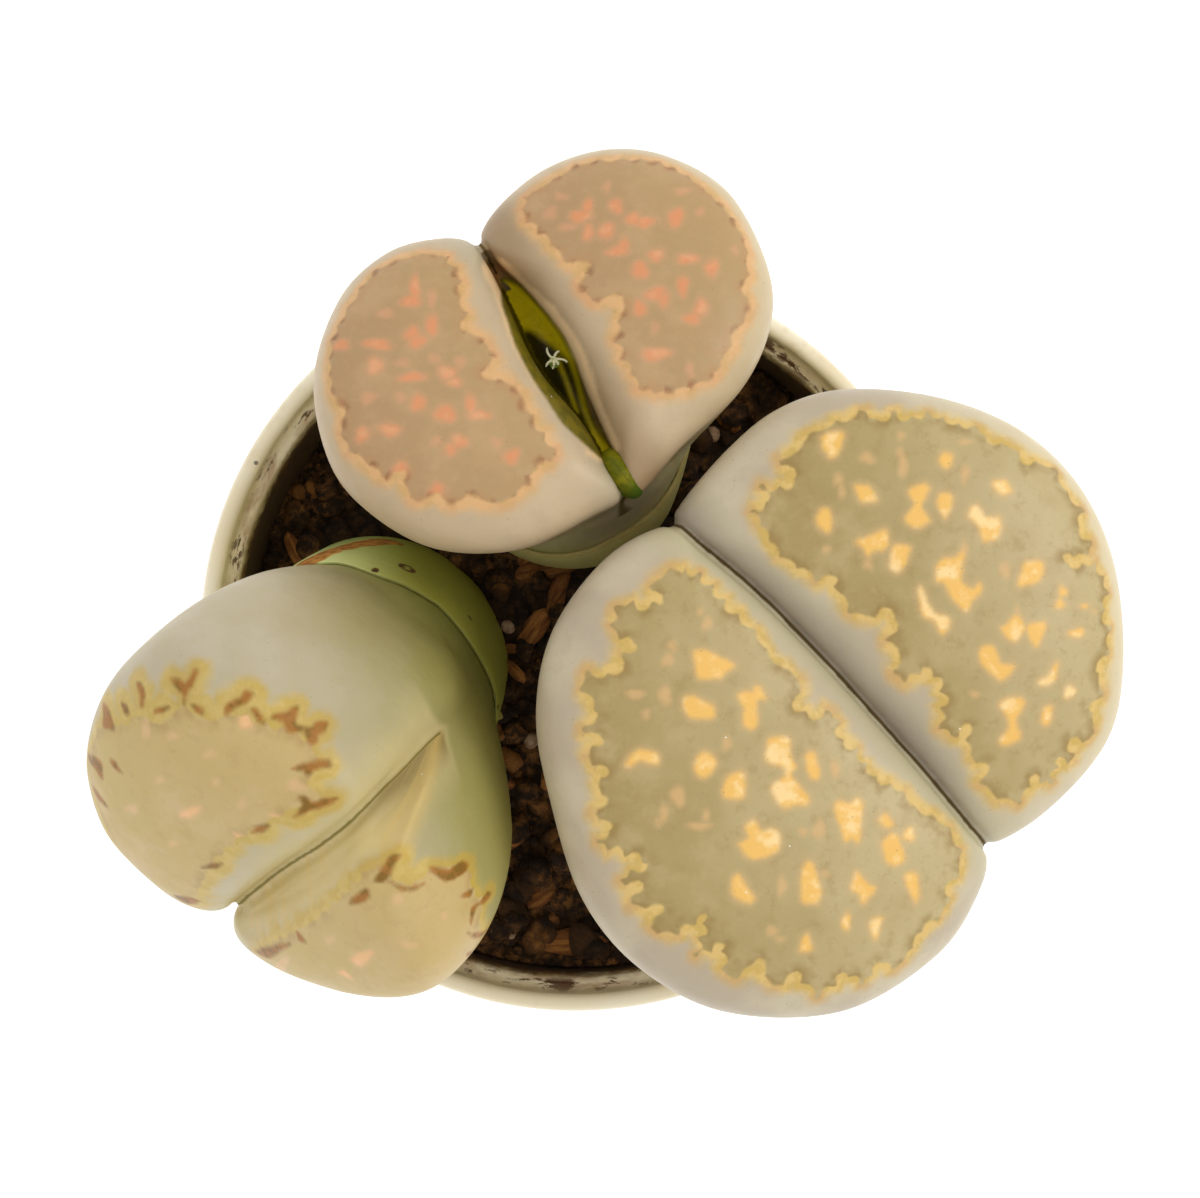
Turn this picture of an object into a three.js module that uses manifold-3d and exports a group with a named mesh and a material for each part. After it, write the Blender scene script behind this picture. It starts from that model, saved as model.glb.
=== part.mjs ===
// Potted lithops: three cleft leaf pairs standing in potting mix in a cream plastic nursery pot.
// Millimetres, +Z up, origin at the centre of the pot's flat underside, seen from above with +Y away.

import * as THREE from 'three';
import { mergeVertices } from 'three/addons/utils/BufferGeometryUtils.js';
import { ImprovedNoise } from 'three/addons/math/ImprovedNoise.js';
import Module from 'manifold-3d';

const wasm = await Module();
wasm.setup();

// ---------------------------------------------------------------- driving dimensions

const CLEARANCE = 0.3; // between pieces that touch

const POT = {
  rimRadius: 27.5,
  height: 50,
  footRadius: 18.9,
  wallFootRadius: 19.7,
  wallTopRadius: 25.0,
  innerFootRadius: 18.5,
  innerTopRadius: 25.1,
  floorThickness: 2.2,
  collarBottom: 40,
  collarBottomRadius: 26.8,
  lipWidth: 1.3,
  ledgeDepth: 1.9,
  recessDepth: 0.8,
  recessInner: 7,
  recessOuter: 17.4,
  drainHoles: 6,
  drainHoleRadius: 2.4,
  drainCircleRadius: 12,
  segments: 44,
};

const SOIL = {
  level: 42.4, // height of the surface at the pot's axis
  slopeX: 0.045,
  slopeY: -0.09, // the mix lies higher at the near side
  crumbHeight: 0.7,
  crumbSize: 2.6,
  swellSize: 9,
  rings: 8,
  segments: 40,
  edgeDrop: 1.0,
  grit: { pieces: 34, size: 0.55, spread: 0.8, width: 0.85, height: 0.7 },
  bark: { pieces: 10, size: 1.6, spread: 1.6, width: 0.35, height: 0.3 },
  bitTilt: 0.35,
  bitMargin: 2.2, // how far loose bits keep from the wall
  seed: 41,
};

// Each plant: its foot at the surface of the mix, the plane of its widest part, and its two leaves,
// each by its outline seen from above, the place and height of its dome, and how square its shoulder
// is on the outer side and towards the fissure.
const RIGHT_PLANT = {
  foot: { x: 10.8, y: -4.8, z: 42.2, radii: [8.8, 8.4], turn: 135, depth: 14 },
  widest: { x: 18.0, y: -4.5, z: 65.0, slopeX: -0.14, slopeY: 0.0 },
  waist: { radii: [21.5, 14.6], turn: 45, upTo: 0.62, dome: 4.0 },
  flare: 2.3,
  leaves: [
    {
      outline: [
        [6.6, 7.9], [2.3, 5.7], [-1.5, 0.6], [-2.7, -5.2], [-1.8, -11.0], [0.5, -18.2],
        [4.6, -23.2], [10.7, -26.3], [18.9, -26.3], [25.5, -22.5], [28.5, -18.1], [29.0, -14.9],
        [26.6, -11.4], [21.9, -6.4], [17.2, -1.2], [12.5, 3.6], [8.8, 6.7],
      ],
      dome: { x: 12.0, y: -11.5, height: 6.4 },
      shoulder: { outer: 2.9, inner: 4.0 },
      innerHold: 0.25,
    },
    {
      outline: [
        [7.4, 9.3], [10.7, 13.2], [14.3, 16.1], [18.9, 17.5], [25.5, 17.0], [31.3, 14.8],
        [35.6, 10.9], [38.2, 5.3], [38.9, -1.8], [37.7, -7.4], [33.4, -12.3], [29.0, -14.7],
        [26.5, -13.3], [22.3, -8.1], [17.4, -2.7], [12.8, 2.2], [8.8, 5.8], [7.0, 7.7],
      ],
      dome: { x: 26.5, y: 3.5, height: 6.2 },
      shoulder: { outer: 2.9, inner: 2.4 },
      innerHold: 0.25,
    },
  ],
};

const TOP_PLANT = {
  foot: { x: -1.0, y: 13.3, z: 41.5, radii: [8.2, 7.4], turn: 150, depth: 14 },
  widest: { x: -2.0, y: 20.0, z: 64.0, slopeX: 0.0, slopeY: -0.2 },
  waist: { radii: [15.6, 10.6], turn: 31, upTo: 0.55, dome: 3.0 },
  flare: 2.3,
  leaves: [
    {
      outline: [
        [-6.9, 27.8], [-9.3, 28.3], [-13.2, 27.3], [-16.6, 24.0], [-18.4, 18.2], [-17.2, 12.2],
        [-14.2, 8.6], [-9.6, 6.2], [-3.8, 6.2], [1.4, 8.6], [3.5, 10.0], [2.2, 12.4], [0.5, 15.2],
        [-2.6, 19.0], [-4.9, 23.8], [-6.2, 26.6],
      ],
      dome: { x: -9.8, y: 17.2, height: 5.6 },
      shoulder: { outer: 2.8, inner: 3.4 },
      innerHold: 0.5,
    },
    {
      outline: [
        [-6.8, 28.1], [-5.4, 30.6], [-2.1, 33.3], [2.2, 34.7], [6.6, 34.2], [11.0, 31.5],
        [13.7, 26.1], [13.8, 21.8], [11.7, 17.4], [7.6, 13.5], [4.0, 9.8], [2.6, 13.2],
        [0.9, 17.2], [-0.8, 21.0], [-3.6, 24.8], [-5.8, 26.8],
      ],
      dome: { x: 5.2, y: 23.8, height: 5.4 },
      shoulder: { outer: 2.8, inner: 2.4 },
      innerHold: 0.5,
    },
  ],
};

// The left plant is given as if upright, with x across its fissure and y along it, and then leans
// over the rim: its axis bends from one angle at the mix to a larger one at its widest part.
const LEFT_PLANT = {
  foot: { x: 0, y: 0, z: 0, radii: [8.7, 7.5], turn: 0, depth: 13 },
  widest: { x: -4.0, y: 0, z: 28, slopeX: 0.0, slopeY: 0.0 },
  waist: { radii: [15.6, 11.4], turn: 0, upTo: 0.62, dome: 3.0 },
  flare: 2.3,
  lean: { x: -13.9, y: -1.4, z: 41.2, towards: 226, atMix: 6, atTips: 52, length: 28 },
  leaves: [
    {
      outline: [
        [-6.6, -10.9], [-4.0, -12.6], [1.4, -12.9], [6.9, -12.0], [11.2, -8.7], [12.4, -3.0],
        [11.8, 2.5], [9.6, 8.2], [5.2, 12.6], [-1.0, 12.6], [-4.4, 10.0], [-5.0, 6.0],
        [-5.4, 1.0], [-6.0, -3.0], [-6.8, -7.0],
      ],
      dome: { x: 3.2, y: 0, height: 6.0 },
      shoulder: { outer: 2.6, inner: 3.2 },
      innerHold: 0.4,
    },
    {
      outline: [
        [-6.2, -10.0], [-8.8, -11.3], [-12.6, -10.8], [-15.9, -8.9], [-18.4, -6.5], [-19.2, -2.8],
        [-17.4, 1.7], [-14.2, 6.6], [-9.8, 11.0], [-5.8, 12.0], [-4.3, 6.5], [-4.6, -2.0],
      ],
      dome: { x: -12.2, y: -3.2, height: 5.6 },
      shoulder: { outer: 2.6, inner: 2.0 },
      innerHold: 0.4,
    },
  ],
};

// The old leaves' remains round each foot: how high they reach on the side they face and opposite.
const OLD_SHEATH = {
  gap: CLEARANCE,
  thickness: 0.8,
  sunk: 2.5,
  cutRadius: 17,
  cutPoints: 24,
  waves: 5,
  wave: 0.5,
};
const SHEATH_EDGES = {
  right: { towards: 200, high: 5.0, low: 3.6 },
  top: { towards: -25, high: 9.0, low: 4.6 },
  left: { towards: 265, high: 9.6, low: 5.0 },
};

const YOUNG_LEAF = { x: 3.2, y: 11.6, z: 65.8, along: 1.6, across: 0.62, tall: 2.4, turn: -52 };
const DRIED_FLOWER = {
  x: -1.5,
  y: 19.7,
  z: 63.2,
  stalkLength: 5.8,
  stalkRadius: 0.28,
  stalkFlare: 1.2,
  rays: 5,
  rayLength: 0.85,
  rayWaist: 0.35,
  starThickness: 0.35,
};

// How a leaf starts inside the shared body: its share of the foot's size and how far it stands aside.
const LEAF_FOOT = { share: 0.72, aside: 0.2 };
const ROOT_TIP_SHARE = 0.35; // how wide the buried root's lowest part is, of the foot

const POINTS_AROUND = 32;
const SIDE_RINGS = 8;
const DOME_RINGS = 6;
const ROOT_RINGS = 3;

// ---------------------------------------------------------------- solids and booleans

function toSolid(geometry) {
  const bare = geometry.clone();
  bare.deleteAttribute('normal');
  bare.deleteAttribute('uv');
  const merged = mergeVertices(bare, 1e-4);
  return new wasm.Manifold(new wasm.Mesh({
    numProp: 3,
    vertProperties: new Float32Array(merged.attributes.position.array),
    triVerts: new Uint32Array(merged.index.array),
  }));
}

function toGeometry(solid) {
  const mesh = solid.getMesh();
  const geometry = new THREE.BufferGeometry();
  geometry.setAttribute('position', new THREE.BufferAttribute(mesh.vertProperties, 3));
  geometry.setIndex(new THREE.BufferAttribute(mesh.triVerts, 1));
  geometry.computeVertexNormals();
  return geometry;
}

// A closed solid through rings of points, each ring counter-clockwise from above, with a pole at
// either end.
function ringStack(bottomPole, rings, topPole) {
  const around = rings[0].length;
  const points = [bottomPole, ...rings.flat(), topPole];
  const faces = [];
  const at = (ring, i) => 1 + ring * around + (i % around);
  const last = rings.length - 1;
  for (let i = 0; i < around; i += 1) {
    faces.push(0, at(0, i + 1), at(0, i));
    for (let ring = 0; ring < last; ring += 1) {
      faces.push(at(ring, i), at(ring, i + 1), at(ring + 1, i + 1));
      faces.push(at(ring, i), at(ring + 1, i + 1), at(ring + 1, i));
    }
    faces.push(at(last, i), at(last, i + 1), points.length - 1);
  }
  const geometry = new THREE.BufferGeometry().setFromPoints(points);
  geometry.setIndex(faces);
  return toSolid(geometry);
}

// ---------------------------------------------------------------- leaves

// A smooth closed line through the outline's points, counter-clockwise from above.
function smoothLoop(outline, count) {
  const corners = outline.map(([x, y]) => new THREE.Vector3(x, y, 0));
  const flat = corners.map((p) => new THREE.Vector2(p.x, p.y));
  if (THREE.ShapeUtils.isClockWise(flat)) corners.reverse();
  const curve = new THREE.CatmullRomCurve3(corners, true, 'catmullrom', 0.5);
  return curve.getSpacedPoints(count).slice(0, count);
}

function ellipseLoop({ x, y, radii, turn }, count) {
  const curve = new THREE.EllipseCurve(x, y, radii[0], radii[1], 0, Math.PI * 2, false,
    THREE.MathUtils.degToRad(turn));
  return curve.getPoints(count).slice(0, count).map((p) => new THREE.Vector3(p.x, p.y, 0));
}

function footPoint(foot, angle, scale) {
  const turn = THREE.MathUtils.degToRad(foot.turn);
  const a = foot.radii[0] * scale * Math.cos(angle - turn);
  const b = foot.radii[1] * scale * Math.sin(angle - turn);
  return new THREE.Vector3(
    foot.x + a * Math.cos(turn) - b * Math.sin(turn),
    foot.y + a * Math.sin(turn) + b * Math.cos(turn),
    foot.z,
  );
}

// A swelling body: it rises from the foot, widens towards its outline and closes with a dome.
// `upTo` says how much of the way to the outline it goes, and `grow` makes it larger all round, for
// the clearance of what encloses it.
function swelling(plant, form, grow = 0) {
  const { foot, widest } = plant;
  const centre = new THREE.Vector3(form.dome.x, form.dome.y, 0);
  const rootCentre = new THREE.Vector3(foot.x, foot.y, 0).add(form.footShift);
  const inward = new THREE.Vector3(widest.x - centre.x, widest.y - centre.y, 0).normalize();
  const shoulderAt = (p) => widest.z + widest.slopeX * (p.x - widest.x)
    + widest.slopeY * (p.y - widest.y);
  const spokes = form.loop.map((p) => {
    const away = p.clone().sub(centre);
    const outward = away.clone().normalize();
    const inner = form.hold ? Math.max(0, outward.dot(inward)) ** 1.5 : 0;
    const root = footPoint(foot, Math.atan2(away.y, away.x), form.footShare);
    return {
      edge: away.addScaledVector(outward, grow),
      root: root.add(form.footShift).sub(rootCentre).addScaledVector(outward, grow),
      inner,
    };
  });
  const meanReach = spokes.reduce((sum, { edge }) => sum + edge.length(), 0) / spokes.length;
  const flareAt = (t, inner) => {
    const reach = Math.min(1, t / (1 - form.hold * inner));
    return Math.sin(reach * Math.PI / 2) ** plant.flare;
  };
  // a point on a spoke: k is its share of the way out, t its share of the way up
  const at = ({ edge, root, inner }, k, t, lift) => {
    const round = edge.clone().setLength(meanReach).lerp(edge, k);
    const target = centre.clone().addScaledVector(round, k);
    const p = rootCentre.clone().addScaledVector(root, k).lerp(target, flareAt(t, inner));
    p.z = THREE.MathUtils.lerp(foot.z, shoulderAt(target), t) + lift;
    return p;
  };
  const rings = [];
  for (let i = 0; i < ROOT_RINGS; i += 1) {
    const q = (i + 0.4) / ROOT_RINGS;
    const narrowing = THREE.MathUtils.lerp(ROOT_TIP_SHARE, 1, Math.sin(q * Math.PI / 2));
    const z = foot.z - (foot.depth + grow) * (1 - q);
    rings.push(spokes.map(({ root }) => rootCentre.clone().addScaledVector(root, narrowing)
      .setZ(z)));
  }
  for (let i = 0; i <= SIDE_RINGS; i += 1) {
    rings.push(spokes.map((spoke) => at(spoke, 1, form.upTo * i / SIDE_RINGS, 0)));
  }
  const dome = form.dome.height + grow;
  for (let i = 1; i < DOME_RINGS; i += 1) {
    const k = Math.cos((i / DOME_RINGS) * Math.PI / 2);
    rings.push(spokes.map((spoke) => {
      const power = THREE.MathUtils.lerp(form.shoulder.outer, form.shoulder.inner, spoke.inner);
      return at(spoke, k, form.upTo, dome * (1 - k ** power) ** (1 / power));
    }));
  }
  const rootTip = rootCentre.clone().setZ(foot.z - foot.depth - grow);
  const crown = at(spokes[0], 0, form.upTo, dome);
  const bent = plant.lean ? (p) => leanOver(plant.lean, p) : (p) => p;
  return ringStack(bent(rootTip), rings.map((ring) => ring.map(bent)), bent(crown));
}

// Moves a point of an upright plant to where the leaning plant has it.
function leanOver(lean, p) {
  const start = THREE.MathUtils.degToRad(lean.atMix);
  const rate = THREE.MathUtils.degToRad(lean.atTips - lean.atMix) / lean.length;
  const rise = THREE.MathUtils.clamp(p.z, 0, lean.length);
  const sunk = Math.min(p.z, 0);
  const beyond = Math.max(p.z - lean.length, 0);
  const angle = start + rate * rise;
  const out = (Math.cos(start) - Math.cos(angle)) / rate + sunk * Math.sin(start)
    + beyond * Math.sin(angle) + p.y * Math.cos(angle);
  const up = (Math.sin(angle) - Math.sin(start)) / rate + sunk * Math.cos(start)
    + beyond * Math.cos(angle) - p.y * Math.sin(angle);
  const towards = THREE.MathUtils.degToRad(lean.towards);
  return new THREE.Vector3(
    lean.x + out * Math.cos(towards) + p.x * Math.sin(towards),
    lean.y + out * Math.sin(towards) - p.x * Math.cos(towards),
    lean.z + up,
  );
}

// The leaf pair: the shared body below the fissure, and the two leaves that part above it.
function leafPair(plant, grow = 0) {
  const { foot, widest, waist } = plant;
  const body = swelling(plant, {
    loop: ellipseLoop({ x: widest.x, y: widest.y, radii: waist.radii, turn: waist.turn },
      POINTS_AROUND),
    dome: { x: widest.x, y: widest.y, height: waist.dome },
    shoulder: { outer: 2, inner: 2 },
    hold: 0,
    upTo: waist.upTo,
    footShare: 1,
    footShift: new THREE.Vector3(),
  }, grow);
  const leaves = plant.leaves.map((leaf) => {
    const aside = new THREE.Vector3(leaf.dome.x - widest.x, leaf.dome.y - widest.y, 0);
    return swelling(plant, {
      loop: smoothLoop(leaf.outline, POINTS_AROUND),
      dome: leaf.dome,
      shoulder: leaf.shoulder,
      hold: leaf.innerHold,
      upTo: 1,
      footShare: LEAF_FOOT.share,
      footShift: aside.normalize().multiplyScalar(foot.radii[0] * LEAF_FOOT.aside),
    }, grow);
  });
  return leaves.reduce((whole, leaf) => whole.add(leaf), body);
}

// The dried old leaves: a thin collar that follows the body, cut off along a wavy edge.
function oldSheath(plant, edge) {
  const { foot } = plant;
  const towards = THREE.MathUtils.degToRad(edge.towards);
  const heightAt = (angle) => {
    const facing = (1 + Math.cos(angle - towards)) / 2;
    return THREE.MathUtils.lerp(edge.low, edge.high, facing)
      + OLD_SHEATH.wave * Math.sin(angle * OLD_SHEATH.waves);
  };
  const { cutRadius, cutPoints, sunk } = OLD_SHEATH;
  const ring = (heightOf) => Array.from({ length: cutPoints }, (_, i) => {
    const angle = (i / cutPoints) * Math.PI * 2;
    return new THREE.Vector3(foot.x + cutRadius * Math.cos(angle),
      foot.y + cutRadius * Math.sin(angle), foot.z + heightOf(angle));
  });
  const bent = plant.lean ? (p) => leanOver(plant.lean, p) : (p) => p;
  const middle = new THREE.Vector3(foot.x, foot.y, foot.z);
  const keep = ringStack(
    bent(middle.clone().setZ(foot.z - sunk)),
    [ring(() => -sunk).map(bent), ring(heightAt).map(bent)],
    bent(middle.clone().setZ(foot.z + (edge.low + edge.high) / 2)),
  );
  const outer = leafPair(plant, OLD_SHEATH.gap + OLD_SHEATH.thickness);
  return outer.intersect(keep).subtract(leafPair(plant, OLD_SHEATH.gap));
}

function youngLeaf(grow = 0) {
  const geometry = new THREE.SphereGeometry(1, 12, 8);
  geometry.rotateX(Math.PI / 2);
  geometry.scale(YOUNG_LEAF.along + grow, YOUNG_LEAF.across + grow, YOUNG_LEAF.tall + grow);
  geometry.rotateZ(THREE.MathUtils.degToRad(YOUNG_LEAF.turn));
  geometry.translate(YOUNG_LEAF.x, YOUNG_LEAF.y, YOUNG_LEAF.z);
  return toSolid(geometry);
}

// The dried flower: a thin stalk out of the fissure with a small star of withered rays on top.
function driedFlower() {
  const { stalkLength, stalkRadius, rays, rayLength } = DRIED_FLOWER;
  const stalk = new THREE.CylinderGeometry(stalkRadius, stalkRadius * DRIED_FLOWER.stalkFlare,
    stalkLength, 6);
  stalk.rotateX(Math.PI / 2);
  stalk.translate(0, 0, -stalkLength / 2);
  const outline = Array.from({ length: rays * 2 }, (_, i) => {
    const angle = (i / rays / 2) * Math.PI * 2;
    const r = i % 2 ? rayLength * DRIED_FLOWER.rayWaist : rayLength;
    return new THREE.Vector2(r * Math.cos(angle), r * Math.sin(angle));
  });
  const star = new THREE.ExtrudeGeometry(new THREE.Shape(outline), {
    depth: DRIED_FLOWER.starThickness, bevelEnabled: false,
  });
  star.translate(0, 0, -DRIED_FLOWER.starThickness / 2);
  const place = new THREE.Matrix4().makeTranslation(DRIED_FLOWER.x, DRIED_FLOWER.y, DRIED_FLOWER.z);
  stalk.applyMatrix4(place);
  star.applyMatrix4(place);
  return toSolid(stalk).add(toSolid(star));
}

// ---------------------------------------------------------------- pot

function pot() {
  const { rimRadius, height, lipWidth, ledgeDepth } = POT;
  const ledge = height - ledgeDepth;
  const profile = [
    [0, 0], [POT.recessInner, 0], [POT.recessInner + 0.5, POT.recessDepth],
    [POT.recessOuter - 0.5, POT.recessDepth], [POT.recessOuter, 0], [POT.footRadius, 0],
    [POT.wallFootRadius, 0.9], [POT.wallTopRadius, POT.collarBottom],
    [POT.collarBottomRadius - 0.3, POT.collarBottom], [POT.collarBottomRadius, POT.collarBottom + 0.4],
    [rimRadius, height - 0.7], [rimRadius - 0.3, height - 0.15], [rimRadius - 0.65, height],
    [rimRadius - lipWidth + 0.2, height - 0.1], [rimRadius - lipWidth, height - 0.4],
    [rimRadius - lipWidth - 0.2, ledge], [POT.innerTopRadius + 0.2, ledge],
    [POT.innerTopRadius, ledge - 0.3], [POT.innerFootRadius, POT.floorThickness + 0.6],
    [POT.innerFootRadius - 0.6, POT.floorThickness], [0, POT.floorThickness],
  ].map(([r, z]) => new THREE.Vector2(r, z));
  const shell = new THREE.LatheGeometry(profile, POT.segments);
  shell.rotateX(Math.PI / 2);
  let solid = toSolid(shell);
  for (let i = 0; i < POT.drainHoles; i += 1) {
    const angle = (i / POT.drainHoles) * Math.PI * 2;
    const hole = new THREE.CylinderGeometry(POT.drainHoleRadius, POT.drainHoleRadius,
      POT.floorThickness * 4, 16);
    hole.rotateX(Math.PI / 2);
    hole.translate(Math.cos(angle) * POT.drainCircleRadius,
      Math.sin(angle) * POT.drainCircleRadius, 0);
    solid = solid.subtract(toSolid(hole));
  }
  return solid;
}

// ---------------------------------------------------------------- potting mix

function seededRandom(seed) {
  let state = seed;
  return () => {
    state = (state * 1664525 + 1013904223) % 4294967296;
    return state / 4294967296;
  };
}

const noise = new ImprovedNoise();

function soilHeight(x, y) {
  const fine = noise.noise(x / SOIL.crumbSize, y / SOIL.crumbSize, 3.7);
  const broad = noise.noise(x / SOIL.swellSize, y / SOIL.swellSize, 8.2);
  return SOIL.level + SOIL.slopeX * x + SOIL.slopeY * y + SOIL.crumbHeight * (fine + broad);
}

function innerRadius(z) {
  const share = (z - POT.floorThickness) / (POT.height - POT.ledgeDepth - POT.floorThickness);
  return THREE.MathUtils.lerp(POT.innerFootRadius, POT.innerTopRadius, share);
}

function soilBlock() {
  const bottom = POT.floorThickness + CLEARANCE;
  const wallGap = CLEARANCE + 0.15; // the flat facets of the round wall come closer than its corners
  const cornerRise = 1.2;
  const ring = (radiusOf, heightOf) => Array.from({ length: SOIL.segments }, (_, i) => {
    const angle = (i / SOIL.segments) * Math.PI * 2;
    const r = radiusOf(angle);
    const x = r * Math.cos(angle);
    const y = r * Math.sin(angle);
    return new THREE.Vector3(x, y, heightOf(x, y));
  });
  const edgeRadius = (angle) => {
    const rough = innerRadius(SOIL.level);
    const z = soilHeight(rough * Math.cos(angle), rough * Math.sin(angle));
    return innerRadius(z - SOIL.edgeDrop) - wallGap;
  };
  const rings = [
    ring(() => POT.innerFootRadius - 0.9 - CLEARANCE, () => bottom),
    ring(() => innerRadius(bottom + cornerRise) - wallGap, () => bottom + cornerRise),
    ring(edgeRadius, (x, y) => soilHeight(x, y) - SOIL.edgeDrop),
  ];
  for (let i = SOIL.rings; i > 0; i -= 1) {
    const share = (i - 0.4) / SOIL.rings;
    rings.push(ring((angle) => edgeRadius(angle) * share, soilHeight));
  }
  return ringStack(new THREE.Vector3(0, 0, bottom), rings,
    new THREE.Vector3(0, 0, soilHeight(0, 0)));
}

// One crumb lying on the mix, half sunk into it.
function looseBit(random, kind) {
  const size = kind.size + kind.spread * random();
  const tilt = () => (random() * 2 - 1) * SOIL.bitTilt;
  const geometry = new THREE.IcosahedronGeometry(1, 0);
  geometry.scale(size, size * kind.width, size * kind.height);
  geometry.rotateX(tilt());
  geometry.rotateY(tilt());
  geometry.rotateZ(random() * Math.PI * 2);
  const r = (innerRadius(SOIL.level) - SOIL.bitMargin) * Math.sqrt(random());
  const angle = random() * Math.PI * 2;
  const x = r * Math.cos(angle);
  const y = r * Math.sin(angle);
  geometry.translate(x, y, soilHeight(x, y));
  return toSolid(geometry);
}

function soil(sockets) {
  const random = seededRandom(SOIL.seed);
  let heaped = soilBlock();
  for (const kind of [SOIL.grit, SOIL.bark]) {
    for (let i = 0; i < kind.pieces; i += 1) heaped = heaped.add(looseBit(random, kind));
  }
  return sockets.reduce((whole, socket) => whole.subtract(socket), heaped);
}

// ---------------------------------------------------------------- assembly

const PLANTS = { right: RIGHT_PLANT, top: TOP_PLANT, left: LEFT_PLANT };

function material(color, roughness) {
  return new THREE.MeshStandardMaterial({ color, roughness, metalness: 0 });
}

const FINISH = {
  pot: material(0xe6dcc0, 0.45),
  soil: material(0x2c1d10, 0.95),
  right: material(0xbdb39c, 0.5),
  top: material(0xcbb79f, 0.5),
  left: material(0xbcb886, 0.5),
  sheath: material(0xa9a765, 0.7),
  youngLeaf: material(0x7d8a2c, 0.5),
  driedFlower: material(0xd8cfa8, 0.8),
};

function named(name, solid, finish) {
  const mesh = new THREE.Mesh(toGeometry(solid), finish);
  mesh.name = name;
  return mesh;
}

const model = new THREE.Group();
model.add(named('pot', pot(), FINISH.pot));
const socketGrow = OLD_SHEATH.gap + OLD_SHEATH.thickness + CLEARANCE;
const sockets = Object.values(PLANTS).map((plant) => leafPair(plant, socketGrow));
model.add(named('soil', soil(sockets), FINISH.soil));
for (const [side, plant] of Object.entries(PLANTS)) {
  const pair = leafPair(plant);
  const grown = side === 'top' ? pair.subtract(youngLeaf(CLEARANCE)) : pair;
  model.add(named(`leaf_pair_${side}`, grown, FINISH[side]));
  model.add(named(`old_sheath_${side}`, oldSheath(plant, SHEATH_EDGES[side]), FINISH.sheath));
}
model.add(named('young_leaf', youngLeaf(), FINISH.youngLeaf));
model.add(named('dried_flower', driedFlower(), FINISH.driedFlower));

export default model;
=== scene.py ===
"""Looks of the potted lithops: leaf skins with their windows and islands, old sheaths, potting mix
and pot. Sizes and places are in millimetres in the CAD frame (+Z up, the origin under the pot), and
MM turns them into metres where a mesh is made."""

import math

import bmesh
import bpy
import numpy as np
from mathutils import Matrix, Vector
from mathutils.bvhtree import BVHTree


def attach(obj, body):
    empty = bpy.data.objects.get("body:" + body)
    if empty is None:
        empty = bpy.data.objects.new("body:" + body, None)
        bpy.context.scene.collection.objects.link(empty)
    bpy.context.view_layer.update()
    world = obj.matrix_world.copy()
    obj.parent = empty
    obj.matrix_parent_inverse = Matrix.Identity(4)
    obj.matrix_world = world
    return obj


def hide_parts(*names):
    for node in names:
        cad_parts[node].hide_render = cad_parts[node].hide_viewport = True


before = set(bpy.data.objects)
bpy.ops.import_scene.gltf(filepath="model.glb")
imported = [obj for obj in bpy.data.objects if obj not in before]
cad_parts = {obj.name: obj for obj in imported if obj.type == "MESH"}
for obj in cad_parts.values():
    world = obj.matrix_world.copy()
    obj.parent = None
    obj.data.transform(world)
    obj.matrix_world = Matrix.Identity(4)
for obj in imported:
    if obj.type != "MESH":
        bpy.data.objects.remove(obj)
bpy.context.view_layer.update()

MM = 0.001

# ---------------------------------------------------------------- sizes shared with the CAD

POT = {
    "rim_radius": 27.5, "height": 50.0, "foot_radius": 18.9, "wall_foot_radius": 19.7,
    "wall_top_radius": 25.0, "inner_foot_radius": 18.5, "inner_top_radius": 25.1,
    "floor": 2.2, "collar_bottom": 40.0, "collar_radius": 26.8, "ledge_depth": 1.9,
    "recess_depth": 0.8, "recess_inner": 7.0, "recess_outer": 17.4, "recess_slant": 0.5,
    "holes": 6, "hole_radius": 2.4, "hole_circle": 12.0,
}
SOIL = {"level": 42.4, "slope_x": 0.045, "slope_y": -0.09}

RIGHT_PLANT = {
    "foot": {"x": 10.8, "y": -4.8, "z": 42.2, "radii": (8.8, 8.4), "turn": 135, "depth": 14},
    "widest": {"x": 18.0, "y": -4.5, "z": 65.0, "slope_x": -0.14, "slope_y": 0.0},
    "waist": {"radii": (21.5, 14.6), "turn": 45, "up_to": 0.62, "dome": 4.0},
    "leaves": (
        {
            "outline": (
                (6.6, 7.9), (2.3, 5.7), (-1.5, 0.6), (-2.7, -5.2), (-1.8, -11.0), (0.5, -18.2),
                (4.6, -23.2), (10.7, -26.3), (18.9, -26.3), (25.5, -22.5), (28.5, -18.1),
                (29.0, -14.9), (26.6, -11.4), (21.9, -6.4), (17.2, -1.2), (12.5, 3.6), (8.8, 6.7),
            ),
            "crown": (12.0, -11.5), "dome": 6.4, "shoulder": (2.9, 4.0), "hold": 0.25,
        },
        {
            "outline": (
                (7.4, 9.3), (10.7, 13.2), (14.3, 16.1), (18.9, 17.5), (25.5, 17.0), (31.3, 14.8),
                (35.6, 10.9), (38.2, 5.3), (38.9, -1.8), (37.7, -7.4), (33.4, -12.3),
                (29.0, -14.7), (26.5, -13.3), (22.3, -8.1), (17.4, -2.7), (12.8, 2.2),
                (8.8, 5.8), (7.0, 7.7),
            ),
            "crown": (26.5, 3.5), "dome": 6.2, "shoulder": (2.9, 2.4), "hold": 0.25,
        },
    ),
    "fissure": ((6.8, 8.7), (8.8, 6.3), (12.6, 3.0), (17.3, -1.9), (22.1, -7.2), (26.5, -12.3),
                (29.2, -15.0)),
    "furrow": 15.0, "fused": None, "pit": None, "lean": None,
}

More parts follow.
